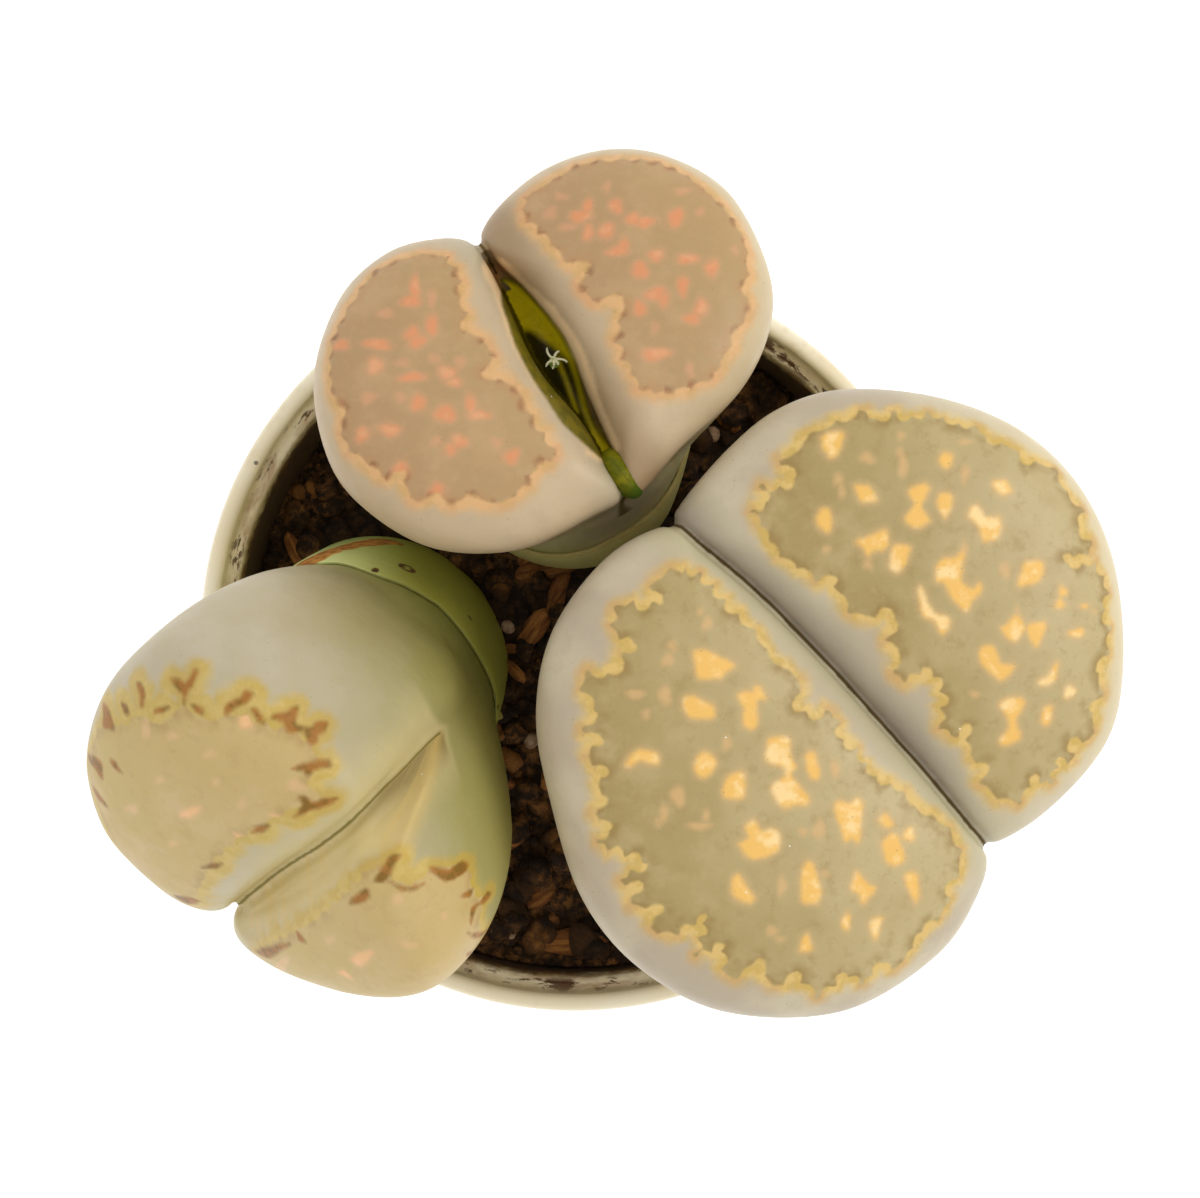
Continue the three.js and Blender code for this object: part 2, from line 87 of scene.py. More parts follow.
TOP_PLANT = {
    "foot": {"x": -1.0, "y": 13.3, "z": 41.5, "radii": (8.2, 7.4), "turn": 150, "depth": 14},
    "widest": {"x": -2.0, "y": 20.0, "z": 64.0, "slope_x": 0.0, "slope_y": -0.2},
    "waist": {"radii": (15.6, 10.6), "turn": 31, "up_to": 0.55, "dome": 3.0},
    "leaves": (
        {
            "outline": (
                (-6.9, 27.8), (-9.3, 28.3), (-13.2, 27.3), (-16.6, 24.0), (-18.4, 18.2),
                (-17.2, 12.2), (-14.2, 8.6), (-9.6, 6.2), (-3.8, 6.2), (1.4, 8.6), (3.5, 10.0),
                (2.2, 12.4), (0.5, 15.2), (-2.6, 19.0), (-4.9, 23.8), (-6.2, 26.6),
            ),
            "crown": (-9.8, 17.2), "dome": 5.6, "shoulder": (2.8, 3.4), "hold": 0.5,
        },
        {
            "outline": (
                (-6.8, 28.1), (-5.4, 30.6), (-2.1, 33.3), (2.2, 34.7), (6.6, 34.2), (11.0, 31.5),
                (13.7, 26.1), (13.8, 21.8), (11.7, 17.4), (7.6, 13.5), (4.0, 9.8), (2.6, 13.2),
                (0.9, 17.2), (-0.8, 21.0), (-3.6, 24.8), (-5.8, 26.8),
            ),
            "crown": (5.2, 23.8), "dome": 5.4, "shoulder": (2.8, 2.4), "hold": 0.5,
        },
    ),
    "fissure": ((-7.0, 28.2), (-5.9, 26.8), (-4.2, 24.2), (-1.7, 20.2), (0.7, 16.2), (2.4, 12.8),
                (3.8, 9.6)),
    "furrow": 13.0, "fused": None, "lean": None,
    "pit": {
        "floor": 54.0,
        "lip": (
            (484, 262), (495, 257), (505, 262), (528, 285), (554, 308), (571, 331), (586, 357), (595, 386),
            (603, 410), (615, 439), (619, 450), (600, 462), (575, 441), (558, 424), (541, 398), (526, 375),
            (513, 350), (505, 326), (496, 296), (484, 272),
        ),
        "lining": (
            (503, 280), (516, 285), (532, 300), (547, 317), (560, 334), (570, 352), (577, 372), (583, 395),
            (589, 415), (598, 433), (612, 453), (600, 462), (575, 441), (558, 424), (541, 398), (526, 375),
            (513, 350), (505, 326), (497, 298),
        ),
        "hole": (
            (531, 331), (546, 342), (557, 350), (569, 362), (577, 384), (583, 410), (590, 432), (574, 436),
            (555, 420), (538, 396), (522, 372), (510, 345), (522, 332),
        ),
        "strand": ((557, 358), (566, 380), (572, 398), (577, 412)),
    },
}

# The left plant as if upright, with x across its fissure and y along it; then it leans.
LEFT_PLANT = {
    "foot": {"x": 0.0, "y": 0.0, "z": 0.0, "radii": (8.7, 7.5), "turn": 0, "depth": 13},
    "widest": {"x": -4.0, "y": 0.0, "z": 28.0, "slope_x": 0.0, "slope_y": 0.0},
    "waist": {"radii": (15.6, 11.4), "turn": 0, "up_to": 0.62, "dome": 3.0},
    "leaves": (
        {
            "outline": (
                (-6.6, -10.9), (-4.0, -12.6), (1.4, -12.9), (6.9, -12.0), (11.2, -8.7),
                (12.4, -3.0), (11.8, 2.5), (9.6, 8.2), (5.2, 12.6), (-1.0, 12.6), (-4.4, 10.0),
                (-5.0, 6.0), (-5.4, 1.0), (-6.0, -3.0), (-6.8, -7.0),
            ),
            "crown": (3.2, 0.0), "dome": 6.0, "shoulder": (2.6, 3.2), "hold": 0.4,
        },
        {
            "outline": (
                (-6.2, -10.0), (-8.8, -11.3), (-12.6, -10.8), (-15.9, -8.9), (-18.4, -6.5),
                (-19.2, -2.8), (-17.4, 1.7), (-14.2, 6.6), (-9.8, 11.0), (-5.8, 12.0),
                (-4.3, 6.5), (-4.6, -2.0),
            ),
            "crown": (-12.2, -3.2), "dome": 5.6, "shoulder": (2.6, 2.0), "hold": 0.4,
        },
    ),
    "fissure": ((-6.4, -11.0), (-6.4, -7.0), (-5.8, -2.0), (-5.2, 3.0), (-4.7, 8.0), (-4.4, 11.5)),
    "furrow": 27.0, "fused": {"from": (440, 717), "towards": (0.9, -0.43)}, "pit": None,
    "lean": {"x": -13.9, "y": -1.4, "z": 41.2, "towards": 226, "at_mix": 6, "at_tips": 52, "length": 28.0},
}

FLARE = 2.3
LEAF_FOOT = {"share": 0.72, "aside": 0.2}

# ---------------------------------------------------------------- the photograph's view

PHOTO = {"width": 1200, "height": 1198, "across_at_rim": 1200 / 13.65, "distance": 400.0}
CAMERA = (1.79, 2.72, POT["height"] + PHOTO["distance"])
PIXELS_PER_MM_AT_RIM = PHOTO["width"] / PHOTO["across_at_rim"]


def photo_ray(pixel):
    """The direction from the camera through a pixel of the photograph."""
    x = (pixel[0] - PHOTO["width"] / 2) / PIXELS_PER_MM_AT_RIM
    y = (PHOTO["height"] / 2 - pixel[1]) / PIXELS_PER_MM_AT_RIM
    return Vector((x, y, -PHOTO["distance"])).normalized()


def photo_pixels(points):
    """Where points show in the photograph."""
    scale = PIXELS_PER_MM_AT_RIM * PHOTO["distance"] / (CAMERA[2] - points[:, 2])
    return np.column_stack([
        PHOTO["width"] / 2 + (points[:, 0] - CAMERA[0]) * scale,
        PHOTO["height"] / 2 - (points[:, 1] - CAMERA[1]) * scale,
    ])


# ---------------------------------------------------------------- lines, distances and noise


def unit(vectors):
    return vectors / np.maximum(np.linalg.norm(vectors, axis=-1, keepdims=True), 1e-9)


def rotated(x, y, angle):
    """Places in the plane, turned about its origin by an angle in radians."""
    cos, sin = math.cos(angle), math.sin(angle)
    return np.column_stack([x * cos - y * sin, x * sin + y * cos])


def full_turn(count):
    """Evenly spaced angles round a circle."""
    return np.linspace(0, 2 * np.pi, count, endpoint=False)


def ring(angles, radius, height, middle=(0, 0)):
    """Points at those angles round an upright line through a middle."""
    return np.column_stack([middle[0] + radius * np.cos(angles), middle[1] + radius * np.sin(angles),
                            np.broadcast_to(height, angles.shape)])


def eastward(points):
    """How far each point lies to the bright side, in millimetres."""
    return points[:, 0] + 0.3 * points[:, 1]


def smooth_line(corners, count, closed=True, ease=1.0):
    """Evenly spaced points on a line through the corners, rounder with more ease."""
    corners = np.array(corners, float)
    last = len(corners) if closed else len(corners) - 1
    steps = np.linspace(0, 1, 16, endpoint=False)[:, None]
    pieces = []
    for i in range(last):
        if closed:
            p, q, r, s = (corners[(i + k) % len(corners)] for k in (-1, 0, 1, 2))
        else:
            p, q, r, s = (corners[min(max(i + k, 0), last)] for k in (-1, 0, 1, 2))
        start, end = ease * (r - p) / 2, ease * (s - q) / 2
        pieces.append((2 * steps**3 - 3 * steps**2 + 1) * q + (steps**3 - 2 * steps**2 + steps) * start
                      + (3 * steps**2 - 2 * steps**3) * r + (steps**3 - steps**2) * end)
    pieces.append(corners[:1] if closed else corners[-1:])
    line = np.vstack(pieces)
    reach = np.concatenate([[0], np.cumsum(np.linalg.norm(np.diff(line, axis=0), axis=1))])
    wanted = np.linspace(0, reach[-1], count, endpoint=not closed)
    return np.column_stack([np.interp(wanted, reach, line[:, k]) for k in range(line.shape[1])])


def distance_to_line(points, line, closed=False):
    """How far each point is from a line of straight pieces, and how far along the line that is."""
    ends = np.roll(line, -1, axis=0) if closed else line[1:]
    nearest = np.full(len(points), 1e9)
    along = np.zeros(len(points))
    passed = 0.0
    for start, end in zip(line, ends):
        step = end - start
        length = max(np.linalg.norm(step), 1e-9)
        share = np.clip((points - start) @ step / length**2, 0, 1)
        gap = np.linalg.norm(points - start - share[:, None] * step, axis=1)
        closer = gap < nearest
        nearest = np.where(closer, gap, nearest)
        along = np.where(closer, passed + share * length, along)
        passed += length
    return nearest, along


def inside_line(points, line):
    """Which points lie inside a closed line."""
    odd = np.zeros(len(points), bool)
    for (ax, ay), (bx, by) in zip(line, np.roll(line, -1, axis=0)):
        crosses = (ay > points[:, 1]) != (by > points[:, 1])
        level = (points[:, 1] - ay) / (by - ay if abs(by - ay) > 1e-9 else 1e-9)
        odd ^= crosses & (points[:, 0] < ax + level * (bx - ax))
    return odd


def grain(points, size, seed=0):
    """Smooth noise from -1 to 1 in space, with bumps of about the given size."""
    points = np.asarray(points, float) / size + seed * 17.13
    cell = np.floor(points).astype(np.int64)
    part = points - cell
    blend = part * part * (3 - 2 * part)
    total = np.zeros(len(points))
    for corner in range(8):
        offset = np.array([corner & 1, (corner >> 1) & 1, corner >> 2])
        spot = cell + offset
        key = (spot[:, 0] * 374761393 + spot[:, 1] * 668265263 + spot[:, 2] * 2147483647) & 0xFFFFFFFF
        key = ((key ^ (key >> 13)) * 1274126177) & 0xFFFFFFFF
        value = ((key ^ (key >> 16)) & 0xFFFF) / 32767.5 - 1
        weight = np.prod(np.where(offset == 1, blend, 1 - blend), axis=1)
        total += value * weight
    return total


# ---------------------------------------------------------------- meshes


def new_object(name, points, faces, smooth=True):
    """A mesh object from points in millimetres."""
    mesh = bpy.data.meshes.new(name)
    mesh.from_pydata((np.asarray(points) * MM).tolist(), [], [list(map(int, f)) for f in faces])
    mesh.validate()
    mesh.update()
    mesh.polygons.foreach_set("use_smooth", [smooth] * len(mesh.polygons))
    thing = bpy.data.objects.new(name, mesh)
    bpy.context.scene.collection.objects.link(thing)
    return thing


def points_of(thing):
    flat = np.empty(len(thing.data.vertices) * 3)
    thing.data.vertices.foreach_get("co", flat)
    return flat.reshape(-1, 3) / MM


def normals_of(thing):
    flat = np.empty(len(thing.data.vertices) * 3)
    thing.data.vertices.foreach_get("normal", flat)
    return flat.reshape(-1, 3)


def move_points(thing, points):
    thing.data.vertices.foreach_set("co", (points * MM).ravel())
    thing.data.update()


def paint_points(thing, **values):
    """Keeps a number for each point of the mesh, for its material to read by name."""
    for name, numbers in values.items():
        layer = thing.data.attributes.new(name, "FLOAT", "POINT")
        layer.data.foreach_set("value", np.asarray(numbers, np.float32))


def with_modifiers(thing, *modifiers):
    """Applies modifiers, each a type with its settings, to the mesh."""
    for kind, settings in modifiers:
        modifier = thing.modifiers.new(kind.title(), kind)
        for key, value in settings.items():
            setattr(modifier, key, value)
    bpy.context.view_layer.update()
    shown = thing.evaluated_get(bpy.context.evaluated_depsgraph_get())
    made = bpy.data.meshes.new_from_object(shown)
    thing.modifiers.clear()
    old = thing.data
    thing.data = made
    bpy.data.meshes.remove(old)


def ring_faces(rings, around):
    """Quads between rings of points, and fans to a pole before the first and after the last ring."""
    faces = []
    top = 1 + (rings - 1) * around
    for i in range(around):
        j = (i + 1) % around
        faces.append((0, 1 + j, 1 + i))
        for low in range(1, top, around):
            faces.append((low + i, low + j, low + around + j, low + around + i))
        faces.append((top + i, top + j, top + around))
    return faces


def lathe(profile, around):
    """Points and faces of a profile of (radius, height) turned once round Z. The profile starts and
    ends on the axis, and runs up the outside and down the inside."""
    middle = profile[1:-1]
    rings = [ring(full_turn(around), radius, height) for radius, height in middle]
    points = np.vstack([(0, 0, profile[0][1]), *rings, (0, 0, profile[-1][1])])
    return points, ring_faces(len(middle), around)


# ---------------------------------------------------------------- the form of a leaf pair


def lean_over(lean, points):
    """Moves points of the upright plant to where the leaning plant has them."""
    if not lean:
        return points
    start = math.radians(lean["at_mix"])
    rate = math.radians(lean["at_tips"] - lean["at_mix"]) / lean["length"]
    x, y, z = points[..., 0], points[..., 1], points[..., 2]
    sunk = np.minimum(z, 0)
    beyond = np.maximum(z - lean["length"], 0)
    angle = start + rate * np.clip(z, 0, lean["length"])
    out = ((math.cos(start) - np.cos(angle)) / rate + sunk * math.sin(start)
           + beyond * np.sin(angle) + y * np.cos(angle))
    up = ((np.sin(angle) - math.sin(start)) / rate + sunk * math.cos(start)
          + beyond * np.cos(angle) - y * np.sin(angle))
    towards = math.radians(lean["towards"])
    return np.stack([
        lean["x"] + out * math.cos(towards) + x * math.sin(towards),
        lean["y"] + out * math.sin(towards) - x * math.cos(towards),
        lean["z"] + up,
    ], axis=-1)


class Lobe:
    """One swelling body of a plant: the shared waist or a leaf. It rises from the foot, widens to its
    outline and closes with a dome. Each of its points also knows its place on the plant as if
    upright, and its place on the skin unrolled flat round the crown."""

    AROUND, SIDE, DOME, ROOT = 144, 44, 40, 5
    ROOT_TIP = 0.35

    def __init__(self, plant, leaf=None):
        foot, widest = plant["foot"], plant["widest"]
        form = leaf or plant["waist"]
        middle = np.array([widest["x"], widest["y"]])
        if leaf:
            centre = np.array(leaf["crown"])
            away = smooth_line(leaf["outline"], self.AROUND) - centre
        else:
            centre = middle
            spin = full_turn(self.AROUND)
            away = rotated(form["radii"][0] * np.cos(spin), form["radii"][1] * np.sin(spin),
                           math.radians(form["turn"]))
        if np.sum(away[:, 0] * np.roll(away[:, 1], -1) - away[:, 1] * np.roll(away[:, 0], -1)) < 0:
            away = away[::-1]
        self.outward = unit(away)
        mean_reach = np.linalg.norm(away, axis=1).mean()
        inner = np.maximum(0, self.outward @ unit(middle - centre)) ** 1.5
        held = 1 - form.get("hold", 0.0) * inner
        turn = math.radians(foot["turn"])
        angle = np.arctan2(away[:, 1], away[:, 0]) - turn
        wide, deep = np.array(foot["radii"]) * (LEAF_FOOT["share"] if leaf else 1.0)
        root = rotated(wide * np.cos(angle), deep * np.sin(angle), turn)
        aside = unit(centre - middle) * foot["radii"][0] * LEAF_FOOT["aside"]
        root_centre = np.array([foot["x"], foot["y"]]) + aside

        def level(k, t, lift=0.0):
            """The ring at a share k of the outline and a share t of the way up to the widest place."""
            target = centre + ((1 - k) * self.outward * mean_reach + k * away) * k
            flare = np.sin(np.minimum(1, t / held) * np.pi / 2)[:, None] ** FLARE
            flat = (root_centre + root * k) * (1 - flare) + target * flare
            brim = (widest["z"] + widest["slope_x"] * (target[:, 0] - widest["x"])
                    + widest["slope_y"] * (target[:, 1] - widest["y"]))
            return np.column_stack([flat, foot["z"] * (1 - t) + brim * t + lift])

        rings = []
        for i in range(self.ROOT):
            q = (i + 0.4) / self.ROOT
            narrow = self.ROOT_TIP + (1 - self.ROOT_TIP) * math.sin(q * math.pi / 2)
            depth = np.full(len(root), foot["z"] - foot["depth"] * (1 - q))
            rings.append(np.column_stack([root_centre + root * narrow, depth]))
        up_to, shoulder = form.get("up_to", 1.0), form.get("shoulder", (2, 2))
        rings += [level(1.0, up_to * i / self.SIDE) for i in range(self.SIDE + 1)]
        power = shoulder[0] * (1 - inner) + shoulder[1] * inner
        for i in range(1, self.DOME):
            k = math.cos(i / self.DOME * math.pi / 2)
            rings.append(level(k, up_to, form["dome"] * (1 - k**power) ** (1 / power)))
        crown = level(0.0, up_to, form["dome"])[0]
        tip = np.array([*root_centre, foot["z"] - foot["depth"]])
        self.upright = np.vstack([tip, *rings, crown])
        self.points = lean_over(plant["lean"], self.upright)
        self.crown = self.points[-1]
        self.quads = ring_faces(len(rings), len(root))
        self.triangles = [t for f in self.quads for t in (f[:3], (f[0], f[2], f[-1]))[:len(f) - 2]]
        grid = self.points[1:-1].reshape(len(rings), len(root), 3)[::-1]
        grid = np.concatenate([np.broadcast_to(self.crown, grid[:1].shape), grid])
        steps = np.linalg.norm(np.diff(grid, axis=0), axis=2)
        reach = np.cumsum(steps, axis=0)[::-1]
        flat = (reach[..., None] * self.outward).reshape(-1, 2)
        self.unrolled = np.vstack([flat[0], flat, [0, 0]])
        self.tree = BVHTree.FromPolygons(self.points.tolist(), self.triangles, all_triangles=True)
        self.corners = np.array(self.triangles)

    def carried(self, places, indices, values):
        """The lobe's values at places on its triangles of those indices."""
        a, b, c = (self.points[self.corners[indices, k]] for k in range(3))
        u, v, w = b - a, c - a, places - a
        uu, uv, vv = (u * u).sum(1), (u * v).sum(1), (v * v).sum(1)
        wu, wv = (w * u).sum(1), (w * v).sum(1)
        area = np.maximum(uu * vv - uv * uv, 1e-12)
        s = np.clip((vv * wu - uv * wv) / area, 0, 1)[:, None]
        t = np.clip((uu * wv - uv * wu) / area, 0, 1)[:, None]
        va, vb, vc = (values[self.corners[indices, k]] for k in range(3))
        return va * (1 - s - t) + vb * s + vc * t

    def seen(self, pixel):
        """Where on the unrolled skin a pixel of the photograph falls. A pixel that misses the leaf
        lies that far beyond its edge."""
        home = photo_pixels(self.crown[None])[0]
        pixel = np.array(pixel, float)
        for share in np.linspace(1, 0, 101):
            ray = photo_ray(home + (pixel - home) * share)
            place, _, index, _ = self.tree.ray_cast(Vector(CAMERA), ray)
            if place is not None:
                break
        flat = self.carried(np.array([place]), [index], self.unrolled)[0]
        missed = np.linalg.norm(pixel - home) * (1 - share) / PIXELS_PER_MM_AT_RIM
        return flat + unit(flat) * missed


def nearest_on_lobes(lobes, points):
    """For each point: the gap to each lobe, its place on the nearest and the way that faces, and its
    place on the upright plant and unrolled."""
    gaps = np.zeros((len(lobes), len(points)))
    nearest = np.zeros((len(points), 3))
    normals = np.zeros((len(points), 3))
    upright = np.zeros((len(points), 3))
    unrolled = np.zeros((len(points), 2))
    for number, lobe in enumerate(lobes):
        found = [lobe.tree.find_nearest(p) for p in points.tolist()]
        places = np.array([f[0] for f in found])
        indices = np.array([f[2] for f in found])
        gaps[number] = [f[3] for f in found]
        facing = np.array([f[1] for f in found])
        closer = gaps[number] <= gaps[:number].min(axis=0, initial=1e9)
        nearest[closer] = places[closer]
        normals[closer] = facing[closer]
        upright[closer] = lobe.carried(places, indices, lobe.upright)[closer]
        unrolled[closer] = lobe.carried(places, indices, lobe.unrolled)[closer]
    return gaps, nearest, normals, upright, unrolled


# ---------------------------------------------------------------- windows, read off the photograph

# Each window by its outline in pixels of the photograph, its smaller teeth (how deep and how far
# apart in millimetres), its islands and brown marks by their outlines, and its small spots and
# faint spots as (x, y, width, height) in pixels.
RIGHT_NEAR_WINDOW = {
    "outline": (
        (683, 570), (699, 574), (717, 593), (730, 609), (755, 631), (771, 656), (786, 668), (802, 681),
        (796, 706), (812, 716), (835, 711), (841, 740), (856, 750), (875, 778), (902, 790), (917, 809),
        (939, 818), (955, 837), (963, 865), (949, 887), (946, 912), (921, 931), (912, 950), (896, 970),
        (880, 962), (863, 985), (846, 974), (817, 997), (797, 975), (771, 989), (760, 960), (738, 978),
        (724, 976), (722, 946), (696, 956), (706, 917), (672, 936), (648, 928), (662, 908), (628, 906),
        (640, 886), (617, 880), (648, 863), (620, 852), (596, 844), (612, 828), (592, 815), (606, 801),
        (595, 786), (606, 772), (583, 757), (600, 742), (582, 727), (598, 712), (582, 692), (583, 671),
        (603, 676), (624, 668), (618, 655), (638, 646), (613, 634), (613, 615), (621, 602), (642, 606),
        (660, 602), (652, 590), (655, 578), (667, 571),
    ),
    "teeth": (0.52, 1.5),
    "islands": (
        ((694, 651), (708, 651), (722, 659), (735, 666), (725, 672), (720, 678), (699, 678), (695, 662)),
        ((683, 704), (684, 698), (692, 696), (706, 702), (714, 706), (713, 718), (690, 717)),
        ((738, 697), (741, 692), (753, 692), (755, 687), (760, 687), (767, 699), (757, 702), (757, 724),
         (751, 729), (743, 724), (744, 708)),
        ((625, 765), (630, 757), (639, 750), (656, 754), (657, 764), (640, 761), (630, 767)),
        ((694, 766), (697, 757), (704, 752), (713, 756), (716, 765), (705, 778), (697, 774)),
        ((724, 785), (728, 777), (743, 773), (744, 797), (724, 798)),
        ((768, 740), (776, 737), (789, 739), (790, 757), (796, 768), (791, 775), (808, 796), (807, 805),
         (797, 804), (784, 808), (778, 803), (772, 787), (786, 776), (784, 767), (767, 761)),
        ((805, 759), (809, 752), (815, 754), (819, 774), (816, 779), (810, 776)),
        ((745, 827), (754, 821), (761, 831), (770, 828), (778, 833), (780, 842), (774, 853), (753, 859),
         (738, 844), (748, 838)),
        ((834, 805), (841, 801), (851, 803), (857, 798), (862, 806), (859, 842), (851, 838), (845, 842),
         (839, 822)),
        ((879, 820), (885, 813), (893, 824), (887, 828)),
        ((882, 843), (892, 834), (898, 838), (905, 858), (896, 865), (886, 861)),
        ((732, 880), (738, 875), (748, 889), (755, 898), (750, 903), (734, 897)),
        ((802, 872), (807, 862), (813, 864), (820, 888), (818, 902), (809, 904), (802, 900)),
        ((851, 888), (857, 872), (867, 883), (876, 888), (863, 903), (858, 894)),
        ((905, 877), (910, 873), (917, 876), (919, 892), (916, 904), (911, 895)),
        ((870, 924), (874, 919), (882, 919), (876, 939), (872, 932)),
        ((801, 947), (803, 937), (808, 934), (811, 950), (800, 951)),
    ),
    "spots": ((909, 835, 11, 12), (846, 922, 9, 14)),
    "faint": (
        (835, 769, 10, 16), (819, 829, 12, 20), (678, 796, 15, 20), (664, 813, 9, 14), (658, 822, 6, 8),
        (699, 826, 20, 9), (706, 816, 6, 12), (782, 887, 9, 19), (772, 931, 11, 8), (780, 939, 8, 6),
        (707, 623, 10, 12), (700, 612, 6, 8), (672, 646, 10, 10), (668, 660, 11, 14), (635, 694, 17, 9),
        (665, 696, 14, 16), (646, 714, 8, 8), (727, 743, 10, 12), (803, 832, 9, 7), (825, 874, 6, 7),
    ),
}
RIGHT_FAR_WINDOW = {
    "outline": (
        (753, 512), (768, 503), (762, 487), (784, 488), (797, 476), (776, 459), (794, 455), (802, 440),
        (819, 428), (842, 420), (867, 410), (878, 422), (892, 413), (910, 419), (930, 413), (955, 424),
        (978, 427), (990, 441), (1014, 447), (1026, 462), (1045, 463), (1059, 473), (1066, 492),
        (1083, 509), (1078, 530), (1094, 545), (1085, 556), (1066, 556), (1070, 566), (1094, 563),
        (1108, 590), (1103, 612), (1110, 630), (1108, 652), (1096, 672), (1106, 692), (1090, 708),
        (1096, 724), (1090, 742), (1068, 740), (1075, 761), (1058, 762), (1050, 786), (1034, 778),
        (1020, 803), (993, 797), (980, 782), (986, 766), (968, 756), (968, 728), (950, 738), (939, 722),
        (944, 700), (938, 680), (925, 670), (905, 682), (893, 674), (900, 654), (886, 640), (898, 622),
        (884, 611), (864, 620), (852, 612), (838, 596), (836, 580), (815, 580), (801, 569), (780, 556),
    ),
    "teeth": (0.52, 1.5),
    "islands": (
        ((822, 438), (826, 433), (843, 433), (838, 455), (830, 457), (824, 449)),
        ((940, 457), (944, 453), (952, 455), (951, 464), (946, 468), (940, 463)),
        ((855, 486), (868, 486), (877, 499), (873, 502), (861, 501)),
        ((909, 492), (916, 486), (924, 484), (929, 489), (922, 507), (930, 521), (917, 528), (908, 523),
         (906, 516), (914, 505)),
        ((938, 500), (941, 494), (949, 493), (953, 499), (950, 511), (945, 518), (940, 511)),
        ((969, 517), (971, 507), (978, 506), (985, 517), (999, 517), (1001, 527), (997, 538), (983, 541),
         (979, 526)),
        ((993, 482), (1006, 480), (1011, 491), (1004, 495), (997, 491)),
        ((816, 519), (821, 510), (828, 509), (832, 518), (829, 533), (821, 528)),
        ((857, 541), (868, 536), (885, 529), (889, 541), (884, 549), (872, 552), (868, 558), (864, 549)),
        ((891, 556), (895, 545), (910, 547), (907, 559), (899, 572), (890, 568)),
        ((938, 566), (944, 558), (955, 557), (964, 552), (961, 580), (973, 588), (979, 583), (982, 590),
         (972, 601), (966, 611), (953, 599), (944, 583), (936, 581)),
        ((1022, 572), (1026, 562), (1042, 562), (1043, 573), (1038, 581), (1018, 586)),
        ((918, 592), (921, 587), (933, 612), (948, 617), (950, 624), (942, 634), (935, 621), (924, 616)),
        ((1001, 628), (1008, 623), (1015, 616), (1021, 619), (1025, 628), (1017, 641), (1008, 638)),
        ((1027, 626), (1044, 622), (1045, 628), (1037, 646), (1031, 641)),
        ((979, 653), (983, 646), (993, 647), (1001, 663), (1014, 666), (1006, 678), (999, 680), (982, 664)),
        ((1000, 706), (1006, 699), (1020, 697), (1025, 704), (1016, 720), (1020, 738), (1004, 745),
         (1000, 740), (1009, 729), (1008, 717)),
        ((1038, 683), (1048, 676), (1053, 667), (1058, 663), (1056, 678), (1050, 684)),
        ((1044, 708), (1051, 706), (1052, 717), (1047, 725), (1042, 721)),
    ),
    "spots": (
        (1077, 633, 13, 9), (1070, 692, 10, 13), (1060, 604, 9, 8), (1063, 592, 7, 10), (1085, 606, 7, 4),
    ),
    "faint": (
        (1005, 570, 12, 16), (867, 458, 14, 11), (903, 466, 11, 20), (900, 452, 6, 10), (965, 474, 9, 16),
        (838, 479, 9, 12), (842, 491, 7, 14), (826, 549, 7, 7), (868, 565, 9, 11), (964, 548, 7, 14),
        (1017, 610, 6, 8), (975, 694, 9, 7), (965, 442, 12, 6), (901, 436, 7, 8), (1094, 612, 5, 5),
    ),
}
TOP_NEAR_WINDOW = {
    "outline": (
        (447, 257), (460, 276), (460, 299), (468, 314), (462, 329), (480, 336), (496, 356), (484, 375),
        (513, 384), (527, 407), (538, 426), (548, 440), (559, 457), (538, 466), (529, 483), (510, 501),
        (489, 504), (470, 496), (451, 506), (438, 495), (426, 501), (407, 499), (405, 474), (382, 478),
        (369, 464), (350, 453), (340, 432), (344, 409), (332, 396), (329, 365), (332, 339), (346, 310),
        (361, 287), (376, 270), (399, 259), (426, 253),
    ),
    "teeth": (0.3, 1.5),
    "dots": 1.5,
    "islands": (),
    "spots": (
        (415, 288, 9, 22), (411, 301, 17, 12), (432, 325, 12, 17), (412, 333, 14, 11), (417, 342, 14, 12),
        (377, 344, 25, 10), (375, 366, 15, 14), (447, 373, 14, 14), (454, 382, 12, 8), (412, 377, 23, 8),
        (418, 403, 13, 14), (445, 414, 21, 15), (471, 405, 9, 18), (479, 415, 17, 9), (390, 430, 17, 12),
        (362, 435, 12, 12), (459, 441, 14, 12), (451, 449, 11, 9), (512, 456, 14, 13), (400, 470, 15, 13),
        (437, 490, 13, 12), (341, 345, 13, 10),
    ),
    "faint": (
        (432, 298, 11, 17), (385, 313, 15, 10), (434, 359, 11, 9), (403, 363, 13, 9), (460, 362, 10, 12),
        (368, 398, 15, 12), (401, 398, 10, 8), (497, 443, 11, 12), (340, 405, 9, 12), (436, 441, 10, 10),
    ),
}
